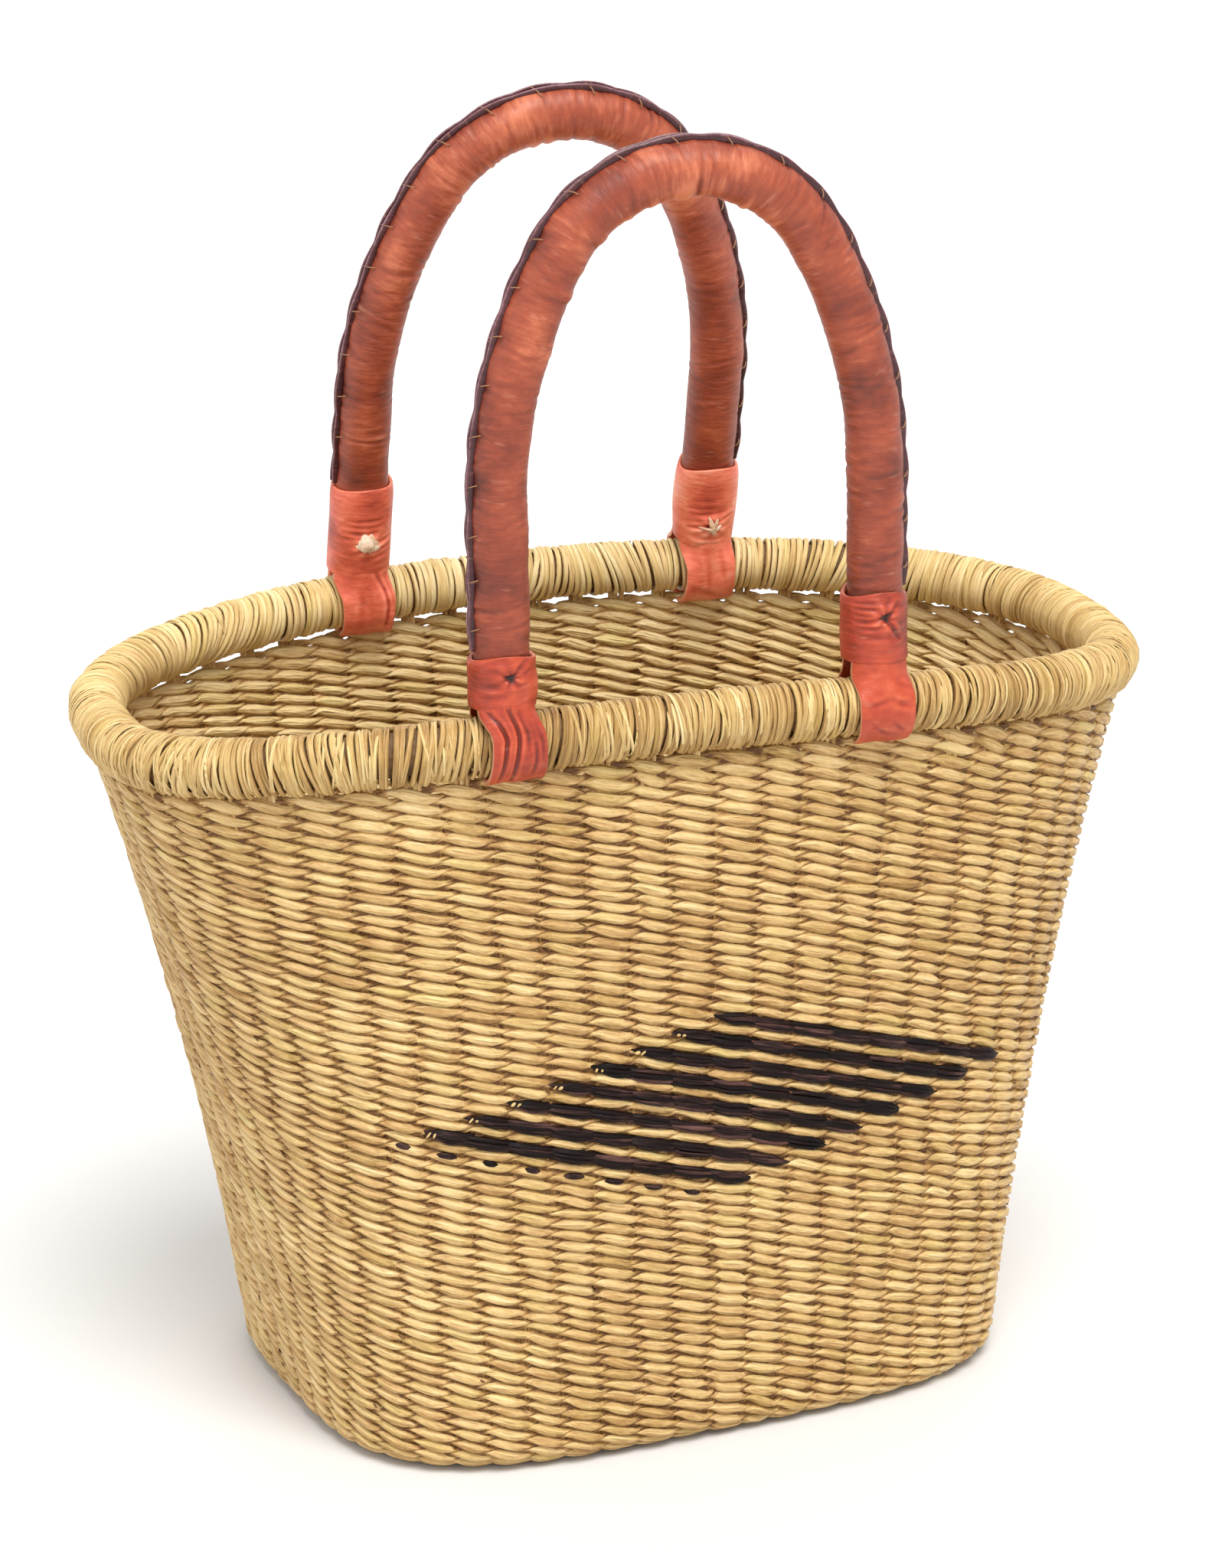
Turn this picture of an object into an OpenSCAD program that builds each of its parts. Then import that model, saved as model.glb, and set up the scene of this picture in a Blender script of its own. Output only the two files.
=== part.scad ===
// Woven market basket: an oval twined straw body with a wrapped roll rim and
// two leather covered arch handles that swing on loops round the rim.
// Origin: middle of the underside. +Z up, +X along the mouth's long axis,
// -Y towards the front. Millimetres.

/* [Mouth and rim] */
// Length of the rim roll's centreline
mouth_len = 430; // [410:5:450]
// Width of the rim roll's centreline
mouth_wid = 224; // [214:2:234]
// Roundness power of the mouth's oval, where 2 is an ellipse
mouth_pow = 2.66; // [2.4:0.02:3]
// Mean height of the rim roll's centreline
mouth_h = 307; // [290:1:330]
// Rise of the rim above its mean height at the middle of each long side
rim_rise = 7.5; // [0:0.5:9]
// Diameter of the rim roll over its wrapping
rim_d = 24; // [22:0.5:25]
// Diameter of the straw bundle inside the rim roll
rim_core_d = 18; // [15:0.5:20]
// Height of the open slits between the rim roll and the top of the wall
slit_h = 5; // [4.5:0.1:7]

/* [Body] */
// Length of the base outline
base_len = 310; // [290:5:330]
// Width of the base outline
base_wid = 232; // [222:2:240]
// Roundness power of the base's oval
base_pow = 3.6; // [2.6:0.1:4]
// Turn of the base against the mouth, in degrees
base_turn = 6.5; // [0:0.5:8]
// Outer radius of the corner between the base and the wall
corner_r = 10; // [9:0.5:14]
// Thickness of the weave
weave_t = 6; // [5:0.5:7]
// How far the wall's flare is held back at mid height, as a share of the flare
wall_sag = 0.3; // [0:0.05:0.5]

/* [Weave] */
// Upright stakes round the wall, which is also the number of stitches in a row
stakes = 58; // [52:2:64]
// Rows of twining up the wall
rows = 58; // [50:1:66]
// Width of a stake
stake_w = 6; // [4:0.5:7]
// Thickness of a stake
stake_t = 2.6; // [2:0.2:3]

/* [Dyed pattern] */
// Dyed diagonal stripes in each diamond
stripe_count = 8; // [4:1:10]
// Stitches in one dyed stripe
stripe_len = 8; // [4:1:10]
// Stake at which the first stripe of the front diamond starts
stripe_stake = 44; // [42:1:46]
// Row at which the first stripe starts, counted down from the rim
stripe_row = 22; // [16:1:26]

/* [Handles] */
// Distance between a handle's two legs, centre to centre
leg_span = 156; // [148:2:160]
// Height of the arch's centreline above the rim roll's centreline
arch_h = 225; // [210:1:240]
// Height of the straight part of each leg
leg_h = 96; // [80:1:110]
// Radius of the arch's crown, along its centreline
crown_r = 60; // [56:1:64]
// Diameter over the leather cover
cover_d = 22.5; // [21:0.5:23]
// Diameter of the straw core
core_d = 15.5; // [13:0.5:17]
// Lean of the front handle towards the middle, in degrees
front_lean = 0; // [0:1:20]
// Lean of the back handle towards the middle, in degrees
back_lean = 15; // [0:1:20]
// How far the back handle stands to the left on the rim
back_shift = 2.5; // [0:0.5:2.5]

/* [Handle fittings] */
// Wall of a leather cuff
cuff_t = 1.75; // [1.25:0.25:2]
// Height of the front handle's left cuff
front_left_cuff_h = 23.5; // [20:0.5:44]
// Height of the front handle's right cuff
front_right_cuff_h = 33; // [20:0.5:44]
// Height of the back handle's left cuff
back_left_cuff_h = 43.5; // [20:0.5:44]
// Height of the back handle's right cuff
back_right_cuff_h = 37; // [20:0.5:44]
// Width of a rim loop
loop_w = 23; // [18:1:24]
// Thickness of a rim loop's strap
loop_t = 2; // [1.6:0.1:2]
// Clearance between the rim roll and a rim loop
loop_gap = 1.9; // [1.8:0.1:2]
// Width of the laced seam
seam_w = 4; // [3:0.5:6]
// Diameter of the tie through a handle's foot
tie_d = 3; // [2.5:0.5:3.5]
// Diameter of the tie's knot
knot_d = 8; // [6:0.5:9]

/* [Hidden] */

$fn = 64;
straw = [0.82, 0.68, 0.42];
straw_dark = [0.66, 0.52, 0.29];
dyed = [0.20, 0.12, 0.13];
leather = [0.60, 0.27, 0.21];
leather_bright = [0.78, 0.33, 0.25];
lace = [0.27, 0.12, 0.15];
thong = [0.88, 0.76, 0.64];

mouth_a = mouth_len / 2;
mouth_b = mouth_wid / 2;
base_a = base_len / 2;
base_b = base_wid / 2;
rim_r = rim_d / 2;
cover_r = cover_d / 2;
core_r = core_d / 2;
cuff_r = cover_r + cuff_t;
loop_ri = rim_r + loop_gap;
loop_ro = loop_ri + loop_t;

// points round the weave's outlines, two to each stake
ring_n = 2 * stakes;
// sections round the rim roll
rim_n = 80;
// sides of a swept round section
tube_sides = 14;
tube_step = 360 / tube_sides;
// steps in the arc length tables of the two ovals
table_n = 240;

// clear height between the top of a rim loop and the end of the leg over it
foot_gap = 0.9;
// arch of a handle: straight legs, a shoulder arc on each side and a crown arc
foot_z = loop_ro + foot_gap;
leg_x = leg_span / 2;
crown_z = arch_h - crown_r;
shoulder_rise = crown_z - leg_h;
shoulder_r = (leg_x * leg_x + shoulder_rise * shoulder_rise - crown_r * crown_r)
           / (2 * (leg_x - crown_r));
shoulder_x = leg_x - shoulder_r;
shoulder_turn = atan2(shoulder_rise, -shoulder_x);
// steps along a shoulder arc and along the crown arc
shoulder_n = 5;
crown_n = 16;

// hinge line of a handle: through the rim roll's centre at its two loops
hinge_y = mouth_b * pow(1 - pow(leg_x / mouth_a, mouth_pow), 1 / mouth_pow);
hinge_z = mouth_h + rim_rise * (1 - 2 * pow(leg_x / mouth_a, 2));

// slits in the rim's wrapping, which lets the stakes in, and in the leather cover
wrap_slit = 3;
cover_slit = 1.2;
// seam strip: depth below and height above the cover's surface
seam_in = 0.5;
seam_out = 2;
// height of each cuff, and the share of it at which the tie goes through:
// front left, front right, back left, back right
cuff_heights = [front_left_cuff_h, front_right_cuff_h, back_left_cuff_h, back_right_cuff_h];
tie_shares = [0.57, 0.68, 0.37, 0.24];
// depth of a tie's end below the cuff's surface
tie_recess = 3;

// dyed stitches: height as a share of a row, depth into the weave and relief
dye_rows = 0.9;
dye_depth = 1.1;
dye_relief = 0.5;
// base spokes: inner end as a share of the base outline, and their thickness
spoke_start = 0.4;
spoke_t = 2.6;

// power that keeps the sign of its argument
function spow(v, p) = sign(v) * pow(abs(v), p);

// point of an oval at parameter angle t
function oval(a, b, n, t) = [a * spow(cos(t), 2 / n), b * spow(sin(t), 2 / n)];

// running arc length of an oval against its parameter angle
function arc_table(a, b, n) = [
    for (
        i = 0, run = 0;
        i <= table_n;
        run = run + norm(oval(a, b, n, (i + 1) * 360 / table_n) - oval(a, b, n, i * 360 / table_n)),
        i = i + 1
    )
    [run, i * 360 / table_n]
];

mouth_table = arc_table(mouth_a, mouth_b, mouth_pow);
base_table = arc_table(base_a, base_b, base_pow);
mouth_around = mouth_table[table_n][0];
base_around = base_table[table_n][0];
// start of the base outline, moved back so that the stakes run up without a twist
base_start = base_a * tan(base_turn) / base_around;

function frac(u) = u - floor(u);
function mouth_t(u) = lookup(frac(u) * mouth_around, mouth_table);
function base_t(u) = lookup(frac(u - base_start) * base_around, base_table);

// outline of the mouth, grown by off, at share u of the way round from +X
function mouth_xy(u, off) = oval(mouth_a + off, mouth_b + off, mouth_pow, mouth_t(u));

// outline of the base, turned, grown by off
function base_xy(u, off) =
    let (p = oval(base_a + off, base_b + off, base_pow, base_t(u)))
    [p[0] * cos(base_turn) - p[1] * sin(base_turn), p[0] * sin(base_turn) + p[1] * cos(base_turn)];

function rim_z(u) = mouth_h + rim_rise * (1 - 2 * pow(mouth_xy(u, 0)[0] / mouth_a, 2));
function rim_pt(u) = concat(mouth_xy(u, 0), rim_z(u));
function wall_top(u) = rim_z(u) - rim_r - slit_h;

// the wall's flare at share s of its height
function flare(s) = s - wall_sag * s * (1 - s);

// point of the wall, depth mm inside its outer surface, at share s of its height
function wall_pt(u, s, depth) =
    let (w = flare(s))
    let (p = base_xy(u, -depth) * (1 - w) + mouth_xy(u, weave_t / 2 - depth) * w)
    [p[0], p[1], corner_r + s * (wall_top(u) - corner_r)];

// point of the rounded corner, depth mm inside, at angle a up from the base
function corner_pt(u, a, depth) =
    let (r = corner_r - depth)
    let (p = base_xy(u, -depth - r * (1 - sin(a))))
    [p[0], p[1], corner_r - r * cos(a)];

// closed ring of points round the body
function wall_ring(s, depth) = [for (i = [0 : ring_n - 1]) wall_pt(i / ring_n, s, depth)];
function corner_ring(a, depth) = [for (i = [0 : ring_n - 1]) corner_pt(i / ring_n, a, depth)];

function unit(v) = v / norm(v);

// solid through a list of point rings: loop closes it on itself, else it gets end caps,
// as fans, or as strips where a ring is an outer run of points and then an inner run back
module loft(rings, loop = false, strip = false) {
    m = len(rings[0]);
    n = len(rings);
    spans = loop ? n : n - 1;
    side = [
        for (k = [0 : spans - 1], i = [0 : m - 1])
            let (a = k * m + i, b = k * m + (i + 1) % m)
            let (c = ((k + 1) % n) * m + i, d = ((k + 1) % n) * m + (i + 1) % m)
            each [[a, d, b], [a, c, d]]
    ];
    cap = strip
        ? [for (i = [0 : m / 2 - 2]) each [[i, i + 1, m - 2 - i], [i, m - 2 - i, m - 1 - i]]]
        : [for (i = [1 : m - 2]) [0, i, i + 1]];
    top = (n - 1) * m;
    low = cap;
    high = [for (f = cap) [top + f[0], top + f[2], top + f[1]]];
    polyhedron(points = [for (r = rings, p = r) p], faces = loop ? side : concat(side, low, high));
}

// round section as points in its own plane
function disc(r) = [for (k = [0 : tube_sides - 1]) r * [cos(k * tube_step), sin(k * tube_step)]];

// point of the disc's polygon at angle a
function disc_edge(r, a) =
    let (rest = a - floor(a / tube_step) * tube_step)
    r * cos(tube_step / 2) / cos(rest - tube_step / 2) * [cos(a), sin(a)];

// angles of a skin's section: round the disc from one lip of its slit to the other
function skin_angles(r, slit) =
    let (lip = asin(slit / 2 / r))
    concat([lip], [for (k = [1 : tube_sides - 1]) k * tube_step], [360 - lip]);

// section of a skin wrapped round a disc, open at a slit that faces angle 0
function skin(r_out, r_in, slit) = concat(
    [for (a = skin_angles(r_out, slit)) disc_edge(r_out, a)],
    [for (k = [tube_sides : -1 : 0]) disc_edge(r_in, skin_angles(r_in, slit)[k])]
);

// section put into space at point p, its own X along side and its own Y along up
function placed(section, p, side, up) = [for (q = section) p + q[0] * side + q[1] * up];

// the same section all round the rim roll, its own X pointing down
module rim_sweep(section) {
    step = 0.002;
    loft([
        for (i = [0 : rim_n - 1])
            let (u = i / rim_n)
            let (along = unit(rim_pt(u + step) - rim_pt(u - step)))
            let (out = unit(cross(along, [0, 0, 1])))
            placed(section, rim_pt(u), cross(along, out), out)
    ], loop = true);
}

// four corners of a stake's section at point p, with the next point q along it
function stake_ring(u, p, q) =
    let (step = 0.002)
    let (a = mouth_xy(u + step, 0) - mouth_xy(u - step, 0))
    let (wide = unit([a[0], a[1], 0]) * stake_w / 2)
    let (thick = unit(cross(wide, q - p)) * stake_t / 2)
    [p - wide - thick, p + wide - thick, p + wide + thick, p - wide + thick];

// centreline of one stake: up the corner and the wall, and on into the rim roll
function stake_path(u, into_rim) =
    let (depth = weave_t / 2)
    concat(
        [for (a = [0 : 30 : 60]) corner_pt(u, a, depth)],
        [for (s = [0 : 0.25 : 1]) wall_pt(u, s, depth)],
        into_rim ? [rim_pt(u)] : []
    );

// a stake that would pass through a rim loop ends at the top of the wall
function shift_x(side) = side < 0 ? 0 : -back_shift;
function under_loop(u) = abs(abs(rim_pt(u)[0] - shift_x(rim_pt(u)[1])) - leg_x) < (loop_w + stake_w) / 2 + 2;

module base_weave() {
    color(straw)
    linear_extrude(weave_t)
    polygon([for (i = [0 : ring_n - 1]) base_xy(i / ring_n, -corner_r)]);
}

module base_spokes() {
    color(straw_dark)
    for (i = [0 : stakes - 1]) {
        tip = base_xy(i / stakes, -corner_r);
        rotate([0, 0, atan2(tip[1], tip[0])])
        translate([norm(tip) * spoke_start, -stake_w / 4, (weave_t - spoke_t) / 2])
        cube([norm(tip) * (1 - spoke_start) - 1, stake_w / 2, spoke_t]);
    }
}

module wall_weave() {
    levels = [for (k = [1 : 8]) k / 8];
    outer = concat(
        [for (a = [0 : 30 : 90]) corner_ring(a, 0)],
        [for (s = levels) wall_ring(s, 0)]
    );
    inner = concat(
        [for (k = [7 : -1 : 0]) wall_ring(levels[k], weave_t)],
        [for (a = [90 : -45 : 0]) corner_ring(a, weave_t)]
    );
    color(straw)
    loft(concat(outer, inner), loop = true);
}

module wall_stakes() {
    color(straw_dark)
    for (i = [0 : stakes - 1]) {
        u = (i + 0.5) / stakes;
        path = stake_path(u, !under_loop(u));
        last = len(path) - 1;
        loft([
            for (k = [0 : last])
                stake_ring(u, path[min(k, last - 1)], path[min(k, last - 1) + 1])
                + [for (c = [0 : 3]) path[k] - path[min(k, last - 1)]]
        ]);
    }
}

// section of a dyed run at stake position c, from row r down
function dye_ring(c, r, tall) =
    let (u = c / stakes, high = 1 - r / rows, low = 1 - (r + tall) / rows)
    [
        wall_pt(u, high, dye_depth), wall_pt(u, high, -dye_relief),
        wall_pt(u, low, -dye_relief), wall_pt(u, low, dye_depth)
    ];

// one diamond: each stripe steps down a row at every stitch
module dyed_diamond(first_stake) {
    for (k = [0 : stripe_count - 1]) {
        loft([
            for (j = [0 : stripe_len])
                dye_ring(first_stake - k + j, stripe_row + k + j, dye_rows)
        ]);
    }
    // a last run of which each stitch only shows a short dash
    for (j = [0 : stripe_len - 1]) {
        c = first_stake - stripe_count + j;
        r = stripe_row + stripe_count + j;
        loft([dye_ring(c + 0.25, r + 0.4, 0.4), dye_ring(c + 0.75, r + 0.6, 0.4)]);
    }
}

module pattern_front() {
    color(dyed)
    dyed_diamond(stripe_stake);
}

module pattern_back() {
    color(dyed)
    dyed_diamond(stripe_stake - stakes / 2);
}

module rim_core() {
    color(straw_dark)
    rim_sweep(disc(rim_core_d / 2));
}

module rim_wrap() {
    color(straw)
    rim_sweep(skin(rim_r, rim_core_d / 2, wrap_slit));
}

// puts a handle, drawn upright over the hinge line, on its side of the basket
module hang(side, lean) {
    translate([shift_x(side), side * hinge_y, hinge_z])
    rotate([side * lean, 0, 0])
    children();
}

// points and outward directions along the arch from the right foot to the left foot,
// each leg's straight part starting at height low_right or low_left
function arch_path(low_right, low_left) = concat(
    [[[leg_x, 0, low_right], [1, 0, 0]]],
    [
        for (k = [0 : shoulder_n])
            let (a = k * shoulder_turn / shoulder_n)
            [[shoulder_x + shoulder_r * cos(a), 0, leg_h + shoulder_r * sin(a)], [cos(a), 0, sin(a)]]
    ],
    [
        for (k = [1 : crown_n])
            let (a = shoulder_turn + k * (180 - 2 * shoulder_turn) / crown_n)
            [[crown_r * cos(a), 0, crown_z + crown_r * sin(a)], [cos(a), 0, sin(a)]]
    ],
    [
        for (k = [shoulder_n - 1 : -1 : 0])
            let (a = k * shoulder_turn / shoulder_n)
            [[-shoulder_x - shoulder_r * cos(a), 0, leg_h + shoulder_r * sin(a)], [-cos(a), 0, sin(a)]]
    ],
    [[[-leg_x, 0, low_left], [-1, 0, 0]]]
);

// the same section all along the arch, its own X pointing outwards
module arch_sweep(section, low_right, low_left, strip = false) {
    loft(
        [for (f = arch_path(low_right, low_left)) placed(section, f[0], f[1], [0, 1, 0])],
        strip = strip
    );
}

// place of a foot in the lists that hold a value for each
function foot(side, end) = (side < 0 ? 0 : 2) + (end < 0 ? 0 : 1);
function cuff_height(side, end) = cuff_heights[foot(side, end)];
function tie_z(side, end) = foot_z + tie_shares[foot(side, end)] * cuff_height(side, end);

// bore of a tie, along Y through one foot
module tie_bore(side, end) {
    translate([end * leg_x, 0, tie_z(side, end)])
    rotate([90, 0, 0])
    cylinder(r = tie_d / 2, h = 2 * cuff_r + 2, center = true);
}

module handle_core(side) {
    color(straw_dark)
    difference() {
        arch_sweep(disc(core_r), foot_z, foot_z);
        for (end = [-1, 1]) tie_bore(side, end);
    }
}

module handle_cover(side) {
    color(leather)
    difference() {
        arch_sweep(skin(cover_r, core_r, cover_slit), foot_z, foot_z, strip = true);
        for (end = [-1, 1]) tie_bore(side, end);
    }
}

// laced seam along the outside of the arch, from cuff to cuff
module handle_seam(side) {
    low = cover_r - seam_in;
    high = cover_r + seam_out;
    half = seam_w / 2;
    color(lace)
    arch_sweep(
        [[low, -half], [high, -half], [high, half], [low, half]],
        foot_z + cuff_height(side, 1),
        foot_z + cuff_height(side, -1)
    );
}

module cuff(side, end) {
    color(leather_bright)
    difference() {
        translate([end * leg_x, 0, foot_z])
        linear_extrude(cuff_height(side, end))
        difference() {
            circle(r = cuff_r);
            circle(r = cover_r);
        }
        tie_bore(side, end);
    }
}

// strap round the rim roll, closed above it by a block that carries the foot
module rim_loop(end) {
    color(leather_bright)
    translate([end * leg_x - loop_w / 2, 0, 0])
    rotate([90, 0, 90])
    linear_extrude(loop_w)
    difference() {
        union() {
            circle(r = loop_ro);
            polygon([[-loop_ro, 0], [loop_ro, 0], [cuff_r, foot_z], [-cuff_r, foot_z]]);
        }
        circle(r = loop_ri);
    }
}

// thong through a foot, with its knot on the side that faces the middle
module tie(side, end) {
    color(thong)
    translate([end * leg_x, 0, tie_z(side, end)])
    rotate([side * 90, 0, 0]) {
        translate([0, 0, tie_recess - cuff_r])
        cylinder(r = tie_d / 2, h = 2 * cuff_r - tie_recess);
        difference() {
            translate([0, 0, cuff_r])
            sphere(d = knot_d);
            rotate([90, 0, 0])
            cylinder(r = cuff_r, h = 2 * knot_d, center = true);
        }
    }
}

module front_core() { hang(-1, front_lean) handle_core(-1); }
module front_cover() { hang(-1, front_lean) handle_cover(-1); }
module front_seam() { hang(-1, front_lean) handle_seam(-1); }
module front_cuff_left() { hang(-1, front_lean) cuff(-1, -1); }
module front_cuff_right() { hang(-1, front_lean) cuff(-1, 1); }
module front_loop_left() { hang(-1, front_lean) rim_loop(-1); }
module front_loop_right() { hang(-1, front_lean) rim_loop(1); }
module front_tie_left() { hang(-1, front_lean) tie(-1, -1); }
module front_tie_right() { hang(-1, front_lean) tie(-1, 1); }
module back_core() { hang(1, back_lean) handle_core(1); }
module back_cover() { hang(1, back_lean) handle_cover(1); }
module back_seam() { hang(1, back_lean) handle_seam(1); }
module back_cuff_left() { hang(1, back_lean) cuff(1, -1); }
module back_cuff_right() { hang(1, back_lean) cuff(1, 1); }
module back_loop_left() { hang(1, back_lean) rim_loop(-1); }
module back_loop_right() { hang(1, back_lean) rim_loop(1); }
module back_tie_left() { hang(1, back_lean) tie(1, -1); }
module back_tie_right() { hang(1, back_lean) tie(1, 1); }

base_weave();
base_spokes();
wall_weave();
wall_stakes();
pattern_front();
pattern_back();
rim_core();
rim_wrap();
front_core();
front_cover();
front_seam();
front_cuff_left();
front_cuff_right();
front_loop_left();
front_loop_right();
front_tie_left();
front_tie_right();
back_core();
back_cover();
back_seam();
back_cuff_left();
back_cuff_right();
back_loop_left();
back_loop_right();
back_tie_left();
back_tie_right();
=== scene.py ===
import math

import bpy
import numpy as np
from mathutils import Matrix, Vector


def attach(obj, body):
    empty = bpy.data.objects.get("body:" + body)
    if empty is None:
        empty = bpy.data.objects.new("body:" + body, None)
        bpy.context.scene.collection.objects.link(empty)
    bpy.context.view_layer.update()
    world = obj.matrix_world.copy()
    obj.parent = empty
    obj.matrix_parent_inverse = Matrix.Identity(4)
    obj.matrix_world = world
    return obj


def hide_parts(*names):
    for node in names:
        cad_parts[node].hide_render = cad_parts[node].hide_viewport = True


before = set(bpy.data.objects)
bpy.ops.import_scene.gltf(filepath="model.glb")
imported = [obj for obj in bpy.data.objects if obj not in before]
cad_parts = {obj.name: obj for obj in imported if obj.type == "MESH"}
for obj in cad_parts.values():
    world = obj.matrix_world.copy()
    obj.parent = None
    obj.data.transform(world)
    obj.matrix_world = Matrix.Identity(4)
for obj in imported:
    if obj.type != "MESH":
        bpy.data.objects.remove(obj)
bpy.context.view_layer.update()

scene = bpy.context.scene
MM = 0.001
TAU = 2 * np.pi
FEET = (("front", -1), ("front", 1), ("back", -1), ("back", 1))     # handle and end: -1 is left, 1 is right


def per_foot(*values):
    return dict(zip(FEET, values))


# ---- sizes, in millimetres, as in the CAD model
MOUTH_A, MOUTH_B, MOUTH_POW = 215.0, 112.0, 2.66
MOUTH_H, RIM_RISE = 307.0, 7.5
RIM_R, SLIT_H = 12.0, 5.0
BASE_A, BASE_B, BASE_POW = 155.0, 116.0, 3.6
BASE_TURN = math.radians(6.5)
CORNER_R, WEAVE_T, WALL_SAG = 10.0, 6.0, 0.3
STAKES, ROWS, CORNER_ROWS, BASE_RINGS = 58, 58, 3, 21
ROW_PITCH = 5.05
STRIPES, STRIPE_LEN, STRIPE_STAKE, STRIPE_ROW = 8, 8, 44, 22
LEG_X, LEG_H, ARCH_H, CROWN_R = 78.0, 96.0, 225.0, 60.0
COVER_R, CUFF_R = 11.25, 13.0
LOOP_RI, LOOP_RO, LOOP_W, LOOP_T = 13.9, 15.9, 23.0, 2.0
FOOT_Z = LOOP_RO + 0.9
CUFF_H = per_foot(23.5, 33.0, 43.5, 37.0)
TIE_SHARE = per_foot(0.57, 0.68, 0.37, 0.24)
LEAN = {"front": 0.0, "back": math.radians(15)}
SHIFT_X = {"front": 0.0, "back": -2.5}
SIDE = {"front": -1, "back": 1}
HINGE_Y = MOUTH_B * (1 - (LEG_X / MOUTH_A) ** MOUTH_POW) ** (1 / MOUTH_POW)
HINGE_Z = MOUTH_H + RIM_RISE * (1 - 2 * (LEG_X / MOUTH_A) ** 2)
COLUMN_W = 19.0         # about how wide a column of the weave is
SEAM_STEP = 19.0        # from one stitch of a handle's seam to the next
STRAW_APART, LEATHER_APART = 900, 300       # how far apart pieces lie in their material's noise
ACROSS = np.array([0.0, 1.0, 0.0])          # the way from the front of the basket to its back


# ---- small helpers
def unit(v):
    return np.clip(v, 0, 1)


def bell(distance, width, power=2):
    return np.exp(-(distance / width) ** power)


def around(sides, start=0.0):
    """Cosines and sines of angles evenly round a circle."""
    angle = (np.arange(sides) + start) * TAU / sides
    return np.cos(angle), np.sin(angle)


def stacked(x, y, z):
    """Vectors from three arrays that are first brought to one shape."""
    return np.stack(np.broadcast_arrays(x, y, z), -1)


def normed(v):
    return v / np.linalg.norm(v, axis=-1, keepdims=True)


def run_along(points):
    """Length along a flat line of points, from its start to each of them."""
    return np.concatenate([[0], np.cumsum(np.hypot(*np.diff(points, axis=0).T))])


# ---- the woven shape
def spow(v, p):
    return np.sign(v) * np.abs(v) ** p


def oval(a, b, power, t):
    return np.stack([a * spow(np.cos(t), 2 / power), b * spow(np.sin(t), 2 / power)], -1)


def arc_table(a, b, power):
    t = np.linspace(0, TAU, 1441)
    p = oval(a, b, power, t)
    run = run_along(p)
    return run / run[-1], t, run[-1]


MOUTH_TABLE = arc_table(MOUTH_A, MOUTH_B, MOUTH_POW)
BASE_TABLE = arc_table(BASE_A, BASE_B, BASE_POW)
MOUTH_ROUND = MOUTH_TABLE[2]
BASE_START = BASE_A * math.tan(BASE_TURN) / BASE_TABLE[2]


def mouth_xy(u, off):
    t = np.interp(np.mod(u, 1), MOUTH_TABLE[0], MOUTH_TABLE[1])
    return oval(MOUTH_A + off, MOUTH_B + off, MOUTH_POW, t)


def base_xy(u, off):
    t = np.interp(np.mod(u - BASE_START, 1), BASE_TABLE[0], BASE_TABLE[1])
    p = oval(BASE_A + off, BASE_B + off, BASE_POW, t)
    c, s = math.cos(BASE_TURN), math.sin(BASE_TURN)
    return np.stack([p[..., 0] * c - p[..., 1] * s, p[..., 0] * s + p[..., 1] * c], -1)


def rim_z(u):
    return MOUTH_H + RIM_RISE * (1 - 2 * (mouth_xy(u, 0.0)[..., 0] / MOUTH_A) ** 2)


def skin(u, row, depth):
    """Points under the outer face: rows count down the wall, round the corner and in across the base."""
    u, row, depth = np.broadcast_arrays(u, row, depth)
    s = 1 - row / ROWS
    w = (s - WALL_SAG * s * (1 - s))[..., None]
    wall = base_xy(u, -depth) * (1 - w) + mouth_xy(u, WEAVE_T / 2 - depth) * w
    wall_z = CORNER_R + s * (rim_z(u) - RIM_R - SLIT_H - CORNER_R)
    turn = unit(1 - (row - ROWS) / CORNER_ROWS) * np.pi / 2
    r = CORNER_R - depth
    low = base_xy(u, -depth - r * (1 - np.sin(turn)))
    low = low * unit(1 - (row - ROWS - CORNER_ROWS) / BASE_RINGS)[..., None]
    low_z = CORNER_R - r * np.cos(turn)
    up = row < ROWS
    xy = np.where(up[..., None], wall, low)
    return np.concatenate([xy, np.where(up, wall_z, low_z)[..., None]], -1)


def fabric(x, up, out, row, columns=STAKES):
    """Points of the weave: x in columns round it, up and out in millimetres from the middle of a row."""
    return skin(x / columns, row + 0.5 - up / ROW_PITCH, WEAVE_T / 2 - out)


def ripple(seed, u, v, waves=12, round_u=9, along_v=3.0):
    """A smooth random field of about unit size that closes on itself as u goes from 0 to 1."""
    rng = np.random.default_rng(seed)
    total = 0
    for _ in range(waves):
        turn = rng.integers(1, round_u) * u + rng.uniform(-along_v, along_v) * v
        total = total + np.cos(TAU * turn + rng.uniform(0, TAU))
    return total / math.sqrt(waves / 2)


# ---- meshes
def in_scene(name, data):
    obj = bpy.data.objects.new(name, data)
    scene.collection.objects.link(obj)
    return obj


def tube_faces(count, rings, sides, closed, flip=False):
    """Faces of tubes whose points are stored ring after ring, with flat ends unless they close."""
    i = np.arange(rings if closed else rings - 1)[:, None]
    k = np.arange(sides)[None]
    j, n = (i + 1) % rings, (k + 1) % sides
    faces = np.stack([i * sides + k, i * sides + n, j * sides + n, j * sides + k], -1).reshape(-1, 4)
    if not closed:
        k = np.arange(1, sides - 1, 2)
        end = np.stack([0 * k, k, k + 1, k + 2], -1)
        faces = np.concatenate([faces, end[:, ::-1], end + (rings - 1) * sides])
    if flip:
        faces = faces[:, ::-1]
    return (faces[None] + (np.arange(count) * rings * sides)[:, None, None]).reshape(-1, 4)


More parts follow.
